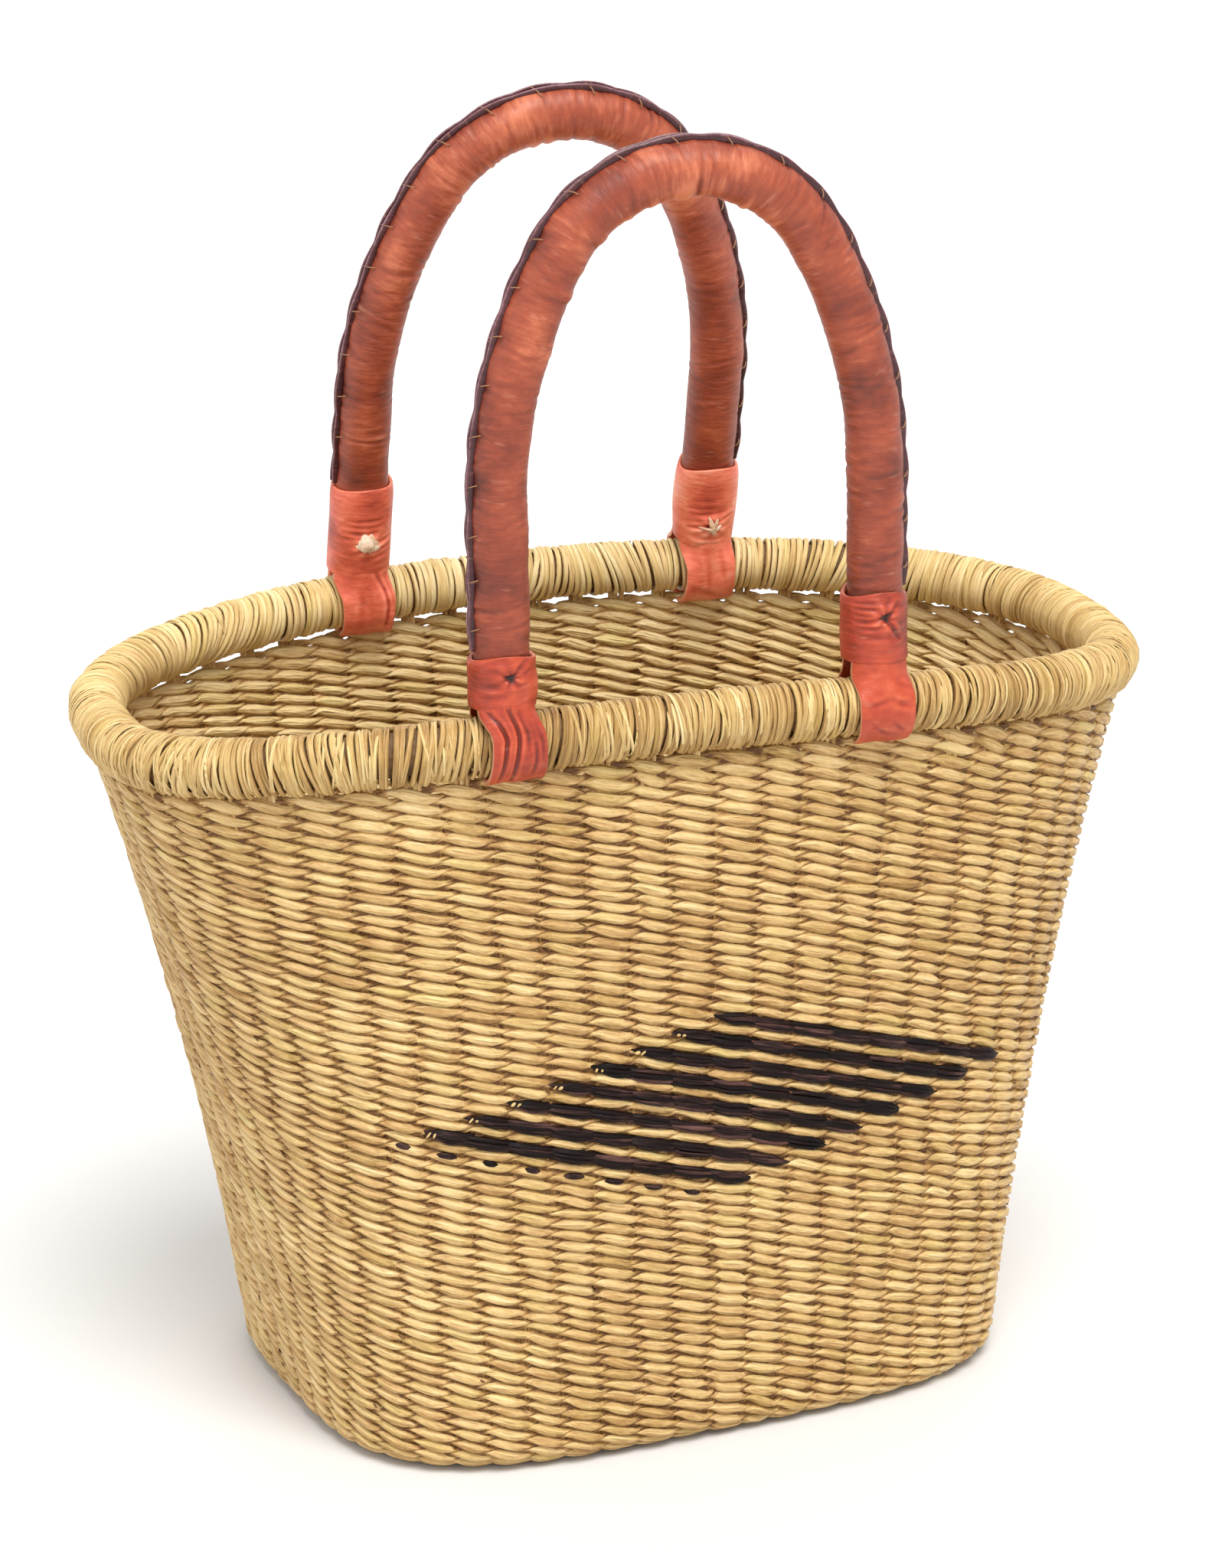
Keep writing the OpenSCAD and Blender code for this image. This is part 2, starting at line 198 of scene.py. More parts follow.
def piece(name, parts, body, material, nodes=()):
    """One mesh from parts of (points, faces, values): named numbers or vectors that spread to the points."""
    points = np.concatenate([p.reshape(-1, 3) for p, _, _ in parts])
    starts = np.cumsum([0] + [p.size // 3 for p, _, _ in parts])
    faces = np.concatenate([f + s for (_, f, _), s in zip(parts, starts)])
    mesh = bpy.data.meshes.new(name)
    mesh.vertices.add(len(points))
    mesh.vertices.foreach_set("co", (points * MM).astype(np.float32).ravel())
    mesh.loops.add(faces.size)
    mesh.loops.foreach_set("vertex_index", faces.astype(np.int32).ravel())
    mesh.polygons.add(len(faces))
    mesh.polygons.foreach_set("loop_start", np.arange(0, faces.size, 4, dtype=np.int32))
    mesh.update(calc_edges=True)
    mesh.shade_smooth()
    for key in parts[0][2]:
        values = [np.broadcast_to(v[key], p.shape[:-1] + np.shape(v[key])[p.ndim - 1:]) for p, _, v in parts]
        flat = np.concatenate([v.ravel() for v in values]).astype(np.float32)
        kind, field = ("FLOAT_VECTOR", "vector") if flat.size == points.size else ("FLOAT", "value")
        mesh.attributes.new(key, kind, "POINT").data.foreach_set(field, flat)
    obj = in_scene(name, mesh)
    mesh.materials.append(material)
    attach(obj, body)
    if nodes:
        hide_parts(*nodes)


# ---- materials
def linear(r, g, b):
    """A colour given in 0 to 255, as Blender's sockets take it."""
    c = np.array([r, g, b]) / 255
    return tuple(np.where(c <= 0.04045, c / 12.92, ((c + 0.055) / 1.055) ** 2.4)) + (1.0,)


def linears(shades):
    return [linear(*shade) for shade in shades]


class Tree:
    """A material's nodes, with short calls that return output sockets."""

    def __init__(self, name):
        self.material = bpy.data.materials.new(name)
        self.material.use_nodes = True
        self.nodes = self.material.node_tree.nodes
        self.shader = self.nodes["Principled BSDF"]

    def add(self, kind, inputs=(), **options):
        node = self.nodes.new("ShaderNode" + kind)
        for key, value in options.items():
            setattr(node, key, value)
        for key, value in dict(inputs).items():
            self.put(node.inputs[key], value)
        return node

    def put(self, socket, value):
        if isinstance(value, bpy.types.NodeSocket):
            self.material.node_tree.links.new(value, socket)
        else:
            socket.default_value = value

    def attribute(self, name, vector=False):
        node = self.add("Attribute", attribute_name=name)
        return node.outputs["Vector" if vector else "Fac"]

    def maths(self, operation, a, b=0.0, c=0.0):
        return self.add("Math", {0: a, 1: b, 2: c}, operation=operation).outputs[0]

    def sway(self, base, fac, share):
        """The base, with a noise's difference from its middle added."""
        return self.maths("MULTIPLY_ADD", self.maths("SUBTRACT", fac, 0.5), share, base)

    def noise(self, vector, scale, detail=3.0, rough=0.55):
        """Noise with one scale for all three directions, or with a tuple of three."""
        if isinstance(scale, tuple):
            vector = self.add("VectorMath", {0: vector, 1: scale}, operation="MULTIPLY").outputs[0]
            scale = 1.0
        node = self.add("TexNoise", {"Vector": vector, "Scale": scale, "Detail": detail, "Roughness": rough})
        return node.outputs["Fac"]

    def ramp(self, value, places, colours):
        node = self.add("ValToRGB", {"Fac": value})
        while len(node.color_ramp.elements) < len(colours):
            node.color_ramp.elements.new(1.0)
        for element, place, colour in zip(node.color_ramp.elements, places, colours):
            element.position, element.color = place, colour
        return node.outputs["Color"]

    def range(self, value, low, high, to_low, to_high):
        inputs = {"Value": value, "From Min": low, "From Max": high, "To Min": to_low, "To Max": to_high}
        return self.add("MapRange", inputs).outputs["Result"]

    def mix(self, share, a, b, blend="MIX"):
        node = self.add("Mix", data_type="RGBA", blend_type=blend)
        for key, value in ((0, share), (6, a), (7, b)):
            self.put(node.inputs[key], value)
        return node.outputs[2]

    def bump(self, height, distance, strength, under=None):
        inputs = {"Height": height, "Distance": distance, "Strength": strength}
        if under is not None:
            inputs["Normal"] = under
        return self.add("Bump", inputs).outputs["Normal"]

    def finish(self, **sockets):
        for key, value in sockets.items():
            self.put(self.shader.inputs[key.replace("_", " ")], value)
        return self.material


def straw_material(name, shades, tint, gloss, shine=0.4):
    """Split grass straw: fibres along each strand, a tone of its own for each strand, and painted shade,
    brown, in the gaps and under each strand.
    """
    t = Tree(name)
    grain = t.attribute("grain", vector=True)
    tone, painted_shade = t.attribute("tone"), t.attribute("painted_shade")
    place = t.add("TexCoord").outputs["Object"]
    fibre = t.noise(grain, (0.10, 1.5, 1.5), 4.0, 0.6)
    thread = t.noise(grain, (0.25, 5.0, 5.0), 2.0, 0.6)
    patch = t.noise(place, 13.0, 2.0)
    split = t.noise(grain, (0.045, 0.62, 0.62), 1.0)
    green = t.noise(grain, (0.02, 0.05, 0.05), 1.0)
    value = t.sway(t.sway(t.sway(0.53, fibre, 0.5), thread, 0.35), split, 0.55)
    value = t.sway(t.maths("MULTIPLY_ADD", tone, 0.075, value), patch, 0.35)
    # painted shade: this value darkens the strand towards brown
    value = t.maths("MULTIPLY_ADD", painted_shade, -0.5, value)
    colour = t.ramp(value, (0.05, 0.33, 0.58, 0.9), linears(shades))
    colour = t.mix(t.range(green, 0.5, 0.75, 0.0, 0.55), colour, linear(*tint), "MULTIPLY")
    fine = t.bump(thread, 0.0002, 0.35)
    normal = t.bump(split, 0.0022, 0.7, t.bump(fibre, 0.0005, 0.6, fine))
    rough = t.range(fibre, 0.3, 0.7, gloss + 0.12, gloss)
    return t.finish(Base_Color=colour, Roughness=rough, Normal=normal, Specular_IOR_Level=shine)


STRAW = straw_material(
    "straw", [(104, 66, 28), (176, 134, 78), (216, 182, 124), (243, 220, 166)], (232, 240, 200), 0.46)
RIM_STRAW = straw_material(
    "rim_straw", [(112, 76, 36), (182, 144, 86), (222, 192, 132), (248, 230, 180)], (236, 240, 196), 0.44)
# the palest shade of the dye is raised to paint glints of reflection on it
DYED = straw_material(
    "dyed_straw", [(6, 3, 3), (13, 6, 6), (28, 14, 14), (112, 78, 72)], (220, 190, 195), 0.4, 0.16)


def leather_material(name, shades, rough, coat, crinkle_and_glint=1.0):
    """Waxed goatskin, mottled and creased, with painted glints. The edge value is pale and raw above 0, and
    below 0 it paints shade into hollows.
    """
    t = Tree(name)
    grain = t.attribute("grain", vector=True)
    tone, edge = t.attribute("tone"), t.attribute("edge")
    mottle = t.noise(grain, (0.09, 0.09, 0.09), 5.0, 0.6)
    blotch = t.noise(grain, (0.018, 0.03, 0.03), 2.0)
    crease = t.noise(grain, (0.55, 0.12, 0.12), 4.0)
    pore = t.noise(grain, (2.4, 2.4, 2.4), 2.0)
    value = t.sway(t.sway(t.sway(0.5, mottle, 0.6), blotch, 0.5), crease, 0.5)
    value = t.maths("MULTIPLY_ADD", tone, 0.25, value)
    colour = t.ramp(value, (0.1, 0.42, 0.66, 0.95), linears(shades))
    # painted highlight: pale glints along short creases
    painted_glint = t.noise(grain, (0.42, 0.1, 0.1), 2.0, 0.5)
    colour = t.mix(t.range(painted_glint, 0.63, 0.80, 0.0, 0.22 * crinkle_and_glint), colour, linear(232, 168, 140))
    colour = t.mix(t.maths("MAXIMUM", edge, 0.0), colour, linear(214, 170, 130))
    # painted shade: dark in hollows, where the edge value is below 0
    colour = t.mix(t.maths("MAXIMUM", t.maths("MULTIPLY", edge, -1.0), 0.0), colour, linear(34, 10, 8))
    fine = t.bump(pore, 0.00012, 0.5)
    normal = t.bump(crease, 0.0009, 0.55 * crinkle_and_glint, fine)
    sheen = t.range(mottle, 0.35, 0.65, rough + 0.1, rough)
    return t.finish(Base_Color=colour, Roughness=sheen, Normal=normal, Specular_IOR_Level=0.5,
                    Coat_Weight=coat, Coat_Roughness=0.22)


COVER = leather_material(
    "cover_leather", [(88, 33, 19), (134, 54, 31), (160, 72, 43), (204, 114, 78)], 0.44, 0.08)
CUFF = leather_material(
    "cuff_leather", [(108, 30, 14), (162, 52, 27), (188, 72, 40), (216, 112, 74)], 0.42, 0.08)
# painted light: a paler copy of the cuff leather, for the back handle's cuffs and loops
CUFF_BACK_PAINTED_LIGHT = leather_material(
    "cuff_leather_back_painted_light", [(150, 54, 40), (218, 98, 72), (242, 130, 100), (250, 172, 144)], 0.40, 0.08)
LACE = leather_material(
    "seam_leather", [(38, 12, 18), (66, 22, 28), (98, 48, 54), (150, 118, 126)], 0.36, 0.2)
THONG = leather_material(
    "thong_rawhide", [(150, 108, 76), (214, 176, 142), (238, 212, 186), (250, 236, 218)], 0.5, 0.0)


def straw_values(rng, count, grain, painted_shade=0.0, tone=(0.0, 1.0)):
    """Values of straws: each has its own place in the noise and its own tone, and all of them take one
    painted shade.
    """
    offset = rng.uniform(0, STRAW_APART, (count, 1, 1, 3))
    return {"grain": grain + offset, "tone": rng.normal(*tone, (count, 1, 1)), "painted_shade": painted_shade}


# ---- twined rows
STITCH = np.array([0.0, 0.08, 0.17, 0.3, 0.5, 0.7, 0.83, 0.92])    # where rings stand along each stitch
STRAND_SIDES = 6
TOP_LIFT, TOP_ROWS = 2.4, 8         # how far the first row is packed up to the rim, and how many follow
STITCH_RISE = 1.9                   # how far a strand climbs and falls between two stakes, each way
STRAND_OUT, STRAND_TURN = 0.9, 1.1  # how far it swings out and in, and how sharply it turns
STRAND_HIGH, STRAND_THICK = 1.1, 1.75
BELLY_HIGH, BELLY_THICK = 1.7, 0.2  # what its section gains where it lies over a stake
INSIDE_PAINTED_LIGHT, FACE_TONE = 3.2, 0.5     # painted light: its inner side is paler than the face, to light the inside of the basket


def stripe_cells(shift, k):
    """The cells of one stripe of the diamond, as (column, row)."""
    return [(STRIPE_STAKE - shift - k + j, STRIPE_ROW + k + j) for j in range(STRIPE_LEN)]


def dyed_cells(shift):
    return [cell for k in range(STRIPES) for cell in stripe_cells(shift, k)]


def spliced(rng, rows, columns):
    """A tone for each stitch that holds for a while, as one straw does, and then changes."""
    tone = np.zeros((rows, 2, columns))
    for r in range(rows):
        for s in range(2):
            at = 0
            while at < columns:
                run = rng.integers(3, 12)
                tone[r, s, at:at + run] = rng.normal(0, 1)
                at += run
    return tone


def twined(rows, columns, seed, sunk=None):
    """Two strands for each row that pass each other between the stakes: one lies outside each stake."""
    rng = np.random.default_rng(seed)
    count = len(rows)
    n = columns * len(STITCH)
    x = (np.arange(columns)[:, None] + STITCH).ravel()
    cell = x.astype(int)
    row = np.asarray(rows, float)[:, None, None]
    strand = np.arange(2)[None, :, None]
    phase = np.pi * (x + row + strand)
    swing, belly = np.sin(phase), np.abs(np.sin(phase))
    wide, bulge, lift, slant, flick = rng.normal(0, 1, (5, count, 2, columns))[..., cell]
    tone = 0.5 * spliced(rng, count, columns)[..., cell] + 0.45 * flick
    out = STRAND_OUT * np.tanh(STRAND_TURN * swing) / math.tanh(STRAND_TURN) + 0.13 * bulge * swing
    up = (STITCH_RISE + 0.25 * slant) * np.cos(phase) + 0.22 * lift * belly
    up = up + 0.3 * ripple(seed + 1, x / columns, row / 20, along_v=2.0)
    high = STRAND_HIGH + BELLY_HIGH * belly ** 1.1 + 0.12 * wide
    thick = STRAND_THICK + BELLY_THICK * belly + 0.06 * bulge
    if sunk is not None:
        hidden = (sunk[:, cell][:, None, :] & (swing > 0)) * belly ** 0.5
        out, high = out - 1.1 * hidden, high * (1 - 0.35 * hidden)
    lift = TOP_LIFT * unit(1 - row / TOP_ROWS) ** 2
    up = up + lift
    high = high * (1 + 0.1 * lift)
    xs = x + 0.05 * ripple(77, x / columns, row / 12, round_u=20)
    jitter = rng.normal(0, 1, (count, 1, columns)) * 0.028 + rng.normal(0, 0.03, columns)
    near = np.where(x - cell < 0.5, cell, cell + 1) % columns
    xs = xs + jitter[..., near] * (1 - belly)
    # the section's flats lie out, in and on the slant, so that neighbouring rows meet in a groove
    cos, sin = around(STRAND_SIDES, 0.5)
    # painted shade in the grooves between rows: mostly on the lower side of each strand, a little on its
    # upper edge, as if lit from above
    groove_shade = 0.1 * np.maximum(sin, 0) ** 3 + 0.5 * np.maximum(-sin, 0) ** 1.1
    row, xs, up, out, high, thick, swing, belly, tone = (
        v[..., None] for v in (row, xs, up, out, high, thick, swing, belly, tone))
    p = fabric(xs, up + high * sin, out + thick * cos, row, columns)
    offset = rng.uniform(0, STRAW_APART, (count, 2, 1, 1, 3))
    # painted shade where a strand turns in behind a stake, and towards the ends of each stitch
    tucked_shade = unit(-2.4 * swing * cos)
    values = {
        "grain": stacked((x * MOUTH_ROUND / columns)[:, None], high * cos, high * sin) + offset,
        # painted light on the inner side of each strand
        "tone": tone + np.where(cos < 0, INSIDE_PAINTED_LIGHT, FACE_TONE),
        "painted_shade": unit(tucked_shade + groove_shade + 0.12 * (1 - belly) ** 1.5),
    }
    return p, tube_faces(2 * count, n, STRAND_SIDES, True, flip=True), values


sunk_cells = np.zeros((ROWS + CORNER_ROWS, STAKES), bool)
for shift in (0, STAKES // 2):
    for c, r in dyed_cells(shift):
        sunk_cells[r, c % STAKES] = True

BANDS = 4
edges = np.linspace(0, ROWS + CORNER_ROWS, BANDS + 1).astype(int)
for band, (a, b) in enumerate(zip(edges[:-1], edges[1:])):
    part = twined(list(range(a, b)), STAKES, 100 + band, sunk_cells[a:b])
    piece(f"wall_twining_{band + 1}", [part], "basket", STRAW, ["wall_weave"])

base_parts = []
for seed, columns, first, last in ((201, 58, 0, 12), (202, 30, 12, 17), (203, 16, 17, BASE_RINGS)):
    rows = [ROWS + CORNER_ROWS + j for j in range(first, last)]
    base_parts.append(twined(rows, columns, seed))
piece("base_twining", base_parts, "basket", STRAW, ["base_weave"])


# ---- dyed stitches
def bent_tubes(x, up, out, row, high, thick, sides, rng):
    """Short tubes in the weave: all but the last two arguments spread to (tubes, rings)."""
    cos, sin = around(sides)
    x, up, out, row, high, thick = (v[..., None] for v in np.broadcast_arrays(x, up, out, row, high, thick))
    p = fabric(x, up + high * sin, out + thick * cos, row)
    values = straw_values(rng, len(x), stacked(x * COLUMN_W, high * cos, high * sin))
    return p, tube_faces(*x.shape[:2], sides, False, flip=True), values


def dyed_pattern(shift, seed):
    rng = np.random.default_rng(seed)
    cells = np.array(dyed_cells(shift), float)
    count = len(cells)
    run = np.tile(np.arange(STRIPE_LEN), STRIPES)[:, None]
    t = np.linspace(-0.24, 1.22, 19)
    inside = np.sin(np.pi * unit(t))
    left = np.where(run == 0, np.clip((t + 0.24) / 0.8, 0.04, 1) ** 0.95, 1.0)
    right = np.where(run == STRIPE_LEN - 1, np.clip((1.22 - t) / 0.55, 0.05, 1) ** 0.85, 1.0)
    taper = np.minimum(left, right)

    def vary(spread):
        return spread * rng.normal(0, 1, (count, 1))

    stripes = []
    for lane in (-1, 0, 1):
        x = cells[:, :1] + t + vary(0.03) - 0.03 * lane
        full = 1 + 0.3 * inside * taper
        up = -4.4 * (t - 0.5) + lane * 1.44 * full * taper + vary(0.2)
        out = 0.9 + 1.5 * inside ** 0.5 - 0.28 * abs(lane) + vary(0.12)
        high = (1.0 + vary(0.12)) * full * taper ** 0.7
        thick = (1.15 + 0.2 * inside) * taper
        stripes.append(bent_tubes(x, up, out, cells[:, 1:], high, thick, 8, rng))
    # one stripe more shows only as short dashes
    t = np.linspace(-0.24, 0.24, 7)
    cells = np.array(stripe_cells(shift, STRIPES), float)
    x = cells[:, :1] + 0.5 + t * rng.uniform(0.7, 1.1, (len(cells), 1))
    fade = np.sqrt(np.clip(1 - (t / 0.25) ** 2, 0.02, 1))
    dashes = bent_tubes(x, -3.4 * t + 1.4, 2.0, cells[:, 1:], 1.5 * fade, 1.1 * fade, 10, rng)
    return stripes + [dashes]


def flecks(places, length, slope, out, high, seed, tone, painted_shade):
    """Short straws on the face of the weave: places are (column, row, up), and the last argument is painted
    shade.
    """
    rng = np.random.default_rng(seed)
    places = np.array(places, float)
    count = len(places)
    t = np.linspace(-1, 1, 7)
    long = length * rng.uniform(0.6, 1.3, (count, 1))
    x = places[:, :1] + 0.5 * long * t / COLUMN_W
    up = places[:, 2:] + 0.5 * long * t * slope * rng.uniform(0.2, 1.6, (count, 1))
    fade = np.sqrt(1.02 - t ** 2) * rng.uniform(0.75, 1.2, (count, 1))
    part = bent_tubes(x, up, out + 0.25 * t, places[:, 1:2], high * fade, 0.8 * high * fade, 8, rng)
    part[2]["tone"] = part[2]["tone"] * 0.4 + tone
    part[2]["painted_shade"] = painted_shade
    return part


def stripe_dots(shift):
    """Places of the specks of straw that show between the stripes."""
    return [(STRIPE_STAKE - shift - k + at, STRIPE_ROW + k, 2.0 - 4.0 * at)
            for k in range(1, STRIPES) for at in (0.14, 0.27)]


piece("dyed_stitches_front", dyed_pattern(0, 31), "basket", DYED, ["pattern_front"])
piece("dyed_stitches_back", dyed_pattern(STAKES // 2, 32), "basket", DYED, ["pattern_back"])
dots = [flecks(stripe_dots(shift), 2.0, 0.6, 2.9, 0.75, 35, 0.5, 0.1) for shift in (0, STAKES // 2)]
piece("stripe_dots", dots, "basket", RIM_STRAW)

# short dark straw ends at crossings of the weave; much of their darkness is painted shade
rng = np.random.default_rng(36)
ends = [(rng.integers(0, STAKES) + 0.04 * rng.normal(), rng.integers(1, ROWS - 1), rng.uniform(-1.5, 1.5))
        for _ in range(230)]
piece("straw_ends", [flecks(ends, 3.2, -0.5, 1.75, 0.5, 37, -1.6, 0.9)], "basket", STRAW)


# ---- stakes
def under_loop(u):
    """Whether a stake stands under one of the handles' loops."""
    p = mouth_xy(u, 0.0)
    shift = np.where(p[..., 1] > 0, SHIFT_X["back"], SHIFT_X["front"])
    return np.abs(np.abs(p[..., 0] - shift) - LEG_X) < LOOP_W / 2 + 5


def upright_straws(x, rise, wide, thick, sides, seed, painted_shade):
    """Straws that stand in the wall: x is (straws, rings), and rise is (rings,) from the top row."""
    rng = np.random.default_rng(seed)
    cos, sin = around(sides)
    p = fabric(x[..., None] + wide / COLUMN_W * sin, rise[:, None], thick * cos, -0.5)
    values = straw_values(rng, len(x), stacked(rise[:, None], wide * cos, wide * sin), painted_shade)
    return p, tube_faces(*x.shape, sides, False), values


STAKE_STRAWS = 3
stake_u = (np.arange(STAKES) + 0.5) / STAKES
open_u = stake_u[~under_loop(stake_u)]
rng = np.random.default_rng(41)
rise = np.linspace(-12, 14, 7)
x = np.repeat(open_u * STAKES, STAKE_STRAWS)[:, None] + np.tile([-0.11, 0.0, 0.11], len(open_u))[:, None]
x = x + 0.02 * rng.normal(0, 1, x.shape) + 0 * rise
# the stakes carry a little painted shade
straws = upright_straws(x, rise, 1.25, 1.25, 8, 42, 0.25)
# wide strips close the wall behind its stitches, painted dark as the shade in its gaps
rise = -ROW_PITCH * np.linspace(0.2, ROWS + CORNER_ROWS - 0.5, 40)
x = stake_u[:, None] * STAKES + 0 * rise
shade_strips = upright_straws(x, rise, 11.2, 0.4, 6, 43, 0.8)
piece("stake_straws", [straws, shade_strips], "basket", STRAW, ["wall_stakes"])


# ---- rim binding
RIM_TURNS, RIM_SAMPLES = 404, 18        # turns of the binding, and rings in each turn
RIM_COS, RIM_SIN = around(6)
RIM_DROP = 1.6                          # how far the lower outer edge of the binding hangs over the slit
BINDING_R, STRAND_R = 10.5, 11.35       # from the middle of the roll to the binding, and to the loose straws


def rim_middle(u):
    return np.concatenate([mouth_xy(u, 0.0), rim_z(u)[..., None]], -1)


def rim_frame(u):
    """Middle of the rim roll and its directions: along, outward and upward."""
    p, q = rim_middle(u), rim_middle(u + 0.0005)
    along = normed(q - p)
    out = normed(np.cross(along, [0.0, 0.0, 1.0]))
    return p, along, out, np.cross(out, along)


def rim_rings(u, angle, radius, wide, thick):
    """Rings of a straw that lies round the rim roll."""
    p, along, out, up = rim_frame(u)
    away = out * np.cos(angle)[..., None] + up * np.sin(angle)[..., None]
    away_by = radius[..., None] + thick[..., None] * RIM_COS
    along_by = wide[..., None] * RIM_SIN
    p, away, along = (v[..., None, :] for v in (p, away, along))
    return p + away * away_by[..., None] + along * along_by[..., None]


def rim_grain(long, wide):
    long, wide = long[..., None], wide[..., None]
    return stacked(long, wide * RIM_COS, wide * RIM_SIN)


def rim_binding():
    rng = np.random.default_rng(51)
    n = RIM_TURNS * RIM_SAMPLES
    turn = np.arange(n) / RIM_SAMPLES

    def per_turn():
        values = rng.normal(0, 1, RIM_TURNS)
        return np.interp(turn, np.arange(RIM_TURNS + 1), np.append(values, values[0]))

    angle = -np.pi / 2 + TAU * turn
    u = (turn + 0.20 * per_turn() + 0.2 * per_turn() * np.sin(angle)) / RIM_TURNS
    lean = 0.9 * ripple(52, turn / RIM_TURNS, 0.0, round_u=16)
    u = u + lean * np.sin(angle) / RIM_TURNS
    radius = BINDING_R + 0.3 * per_turn()
    wide = np.clip(1.42 + 0.2 * per_turn(), 1.0, 2.0)
    thick = np.clip(1.15 + 0.12 * per_turn(), 0.8, 1.4)
    tone = 0.75 * per_turn() + 0.3 * ripple(53, turn / RIM_TURNS, 0.0, round_u=30)
    # painted light and shade: the back of the roll is painted paler than its front
    tone = tone - 0.3 + 2.2 * np.sin(TAU * turn / RIM_TURNS)
    radius = radius + RIM_DROP * bell(np.mod(angle + np.pi, TAU) - np.pi + 1.15, 0.4)
    step = rng.uniform(0, STRAW_APART, (RIM_TURNS, 3))[np.minimum(turn.astype(int), RIM_TURNS - 1)]
    values = {
        "grain": rim_grain(turn * 68.0, wide) + 0.02 * step[:, None] * [0, 1, 1],
        "tone": tone[:, None],
        # painted shade on the side of each turn that lies against the roll
        "painted_shade": 0.3 * (0.5 - 0.5 * RIM_COS) ** 2,
    }
    return rim_rings(u, angle, radius, wide, thick), tube_faces(1, n, len(RIM_COS), True), values


def rim_strands(count, seed):
    """Split straws that lie on the binding, from one side of the slit over the roll to the other."""
    rng = np.random.default_rng(seed)
    t = np.linspace(0, 1, 15)
    begin = rng.uniform(-2.0, -0.9, (count, 1))
    angle = begin + t * rng.uniform(2.2, 4.2, (count, 1))
    u = rng.uniform(0, 1, (count, 1)) + (t - 0.5) * rng.normal(0, 2.6, (count, 1)) / MOUTH_ROUND
    u = u + 0.9 * np.sin(3.0 * t + rng.uniform(0, 6, (count, 1))) / MOUTH_ROUND
    wide = rng.uniform(0.45, 0.9, (count, 1)) * np.sqrt(np.clip(1.03 - (2 * t - 1) ** 6, 0.03, 1))
    radius = STRAND_R - 0.5 * np.abs(2 * t - 1) ** 6 + 0 * u
    values = straw_values(rng, count, rim_grain(t * 40, wide), tone=(0.2, 0.9))
    faces = tube_faces(count, len(t), len(RIM_COS), False)
    return rim_rings(u, angle, radius, wide, 0.5 * wide), faces, values


piece("rim_binding", [rim_binding(), rim_strands(330, 54)], "basket", RIM_STRAW, ["rim_wrap"])


# ---- handles
def hang(points, handle):
    """Points drawn upright over the hinge line, put on the handle's side of the basket."""
    side, lean = SIDE[handle], SIDE[handle] * LEAN[handle]
    x, y, z = np.moveaxis(points, -1, 0)
    c, s = math.cos(lean), math.sin(lean)
    return stacked(x + SHIFT_X[handle], y * c - z * s + side * HINGE_Y, y * s + z * c + HINGE_Z)


def arch(step, low_right, low_left):
    """Points along a handle's arch from its right foot to its left, with outward directions and lengths."""
    crown_z = ARCH_H - CROWN_R
    rise = crown_z - LEG_H
    shoulder_r = (LEG_X ** 2 + rise ** 2 - CROWN_R ** 2) / (2 * (LEG_X - CROWN_R))
    shoulder_x = LEG_X - shoulder_r
    turn = math.atan2(rise, -shoulder_x)
    count = 60          # of points along each leg, shoulder and half crown
    right = [(LEG_X, z, 1.0, 0.0) for z in np.linspace(low_right, LEG_H, count)[:-1]]
    bends = ((shoulder_x, LEG_H, shoulder_r, np.linspace(0, turn, count)[:-1]),
             (0.0, crown_z, CROWN_R, np.linspace(turn, np.pi / 2, count)))
    for x, z, r, angles in bends:
        right += [(x + r * math.cos(a), z + r * math.sin(a), math.cos(a), math.sin(a)) for a in angles]
    right = np.array(right)
    left = right[::-1][1:] * [-1, 1, -1, 1]
    both = np.concatenate([right, left[left[:, 1] > low_left], [(-LEG_X, low_left, -1.0, 0.0)]])
    run = run_along(both[:, :2])
    s = np.linspace(0, run[-1], int(round(run[-1] / step)) + 1)
    x, z, ox, oz = (np.interp(s, run, both[:, k]) for k in range(4))
    size = np.hypot(ox, oz)
    return stacked(x, 0.0, z), stacked(ox / size, 0.0, oz / size), s


def creases(along, across, marks):
    """Height of pressed-in folds with raised lips beside them: a mark is (along, across) for each of its
    points, then its width and depth."""
    total = np.zeros(np.broadcast(along, across).shape)
    for *ends, width, depth in marks:
        points = np.array(ends, float).reshape(-1, 2)
        d, share = np.full(total.shape, 1e9), np.zeros(total.shape)
        for i, (start, end) in enumerate(zip(points[:-1], points[1:])):
            da, dc = end - start
            t = unit(((along - start[0]) * da + (across - start[1]) * dc) / (da * da + dc * dc))
            near = np.hypot(along - start[0] - t * da, across - start[1] - t * dc)
            share = np.where(near < d, (i + t) / (len(points) - 1), share)
            d = np.minimum(d, near)
        fade = 0.35 + 0.65 * np.sin(np.pi * np.clip(share, 0.08, 0.92))
        total += depth * fade * (0.45 * bell(d - 1.9 * width, width) - bell(d, width))
    return total


def wrap_mm(angle, middle, radius):
    """Distance round a tube from one angle, in millimetres, the short way."""
    return (np.mod(angle - middle + np.pi, TAU) - np.pi) * radius


def leather_tubes(handle, rings, grain, start, tone, edge=0.0, closed=False, flip=False):
    """Part of a handle, from the rings of one tube or of several alike."""
    faces = tube_faces(int(np.prod(rings.shape[:-3])), *rings.shape[-3:-1], closed, flip)
    return hang(rings, handle), faces, {"grain": grain + start, "tone": tone, "edge": edge}


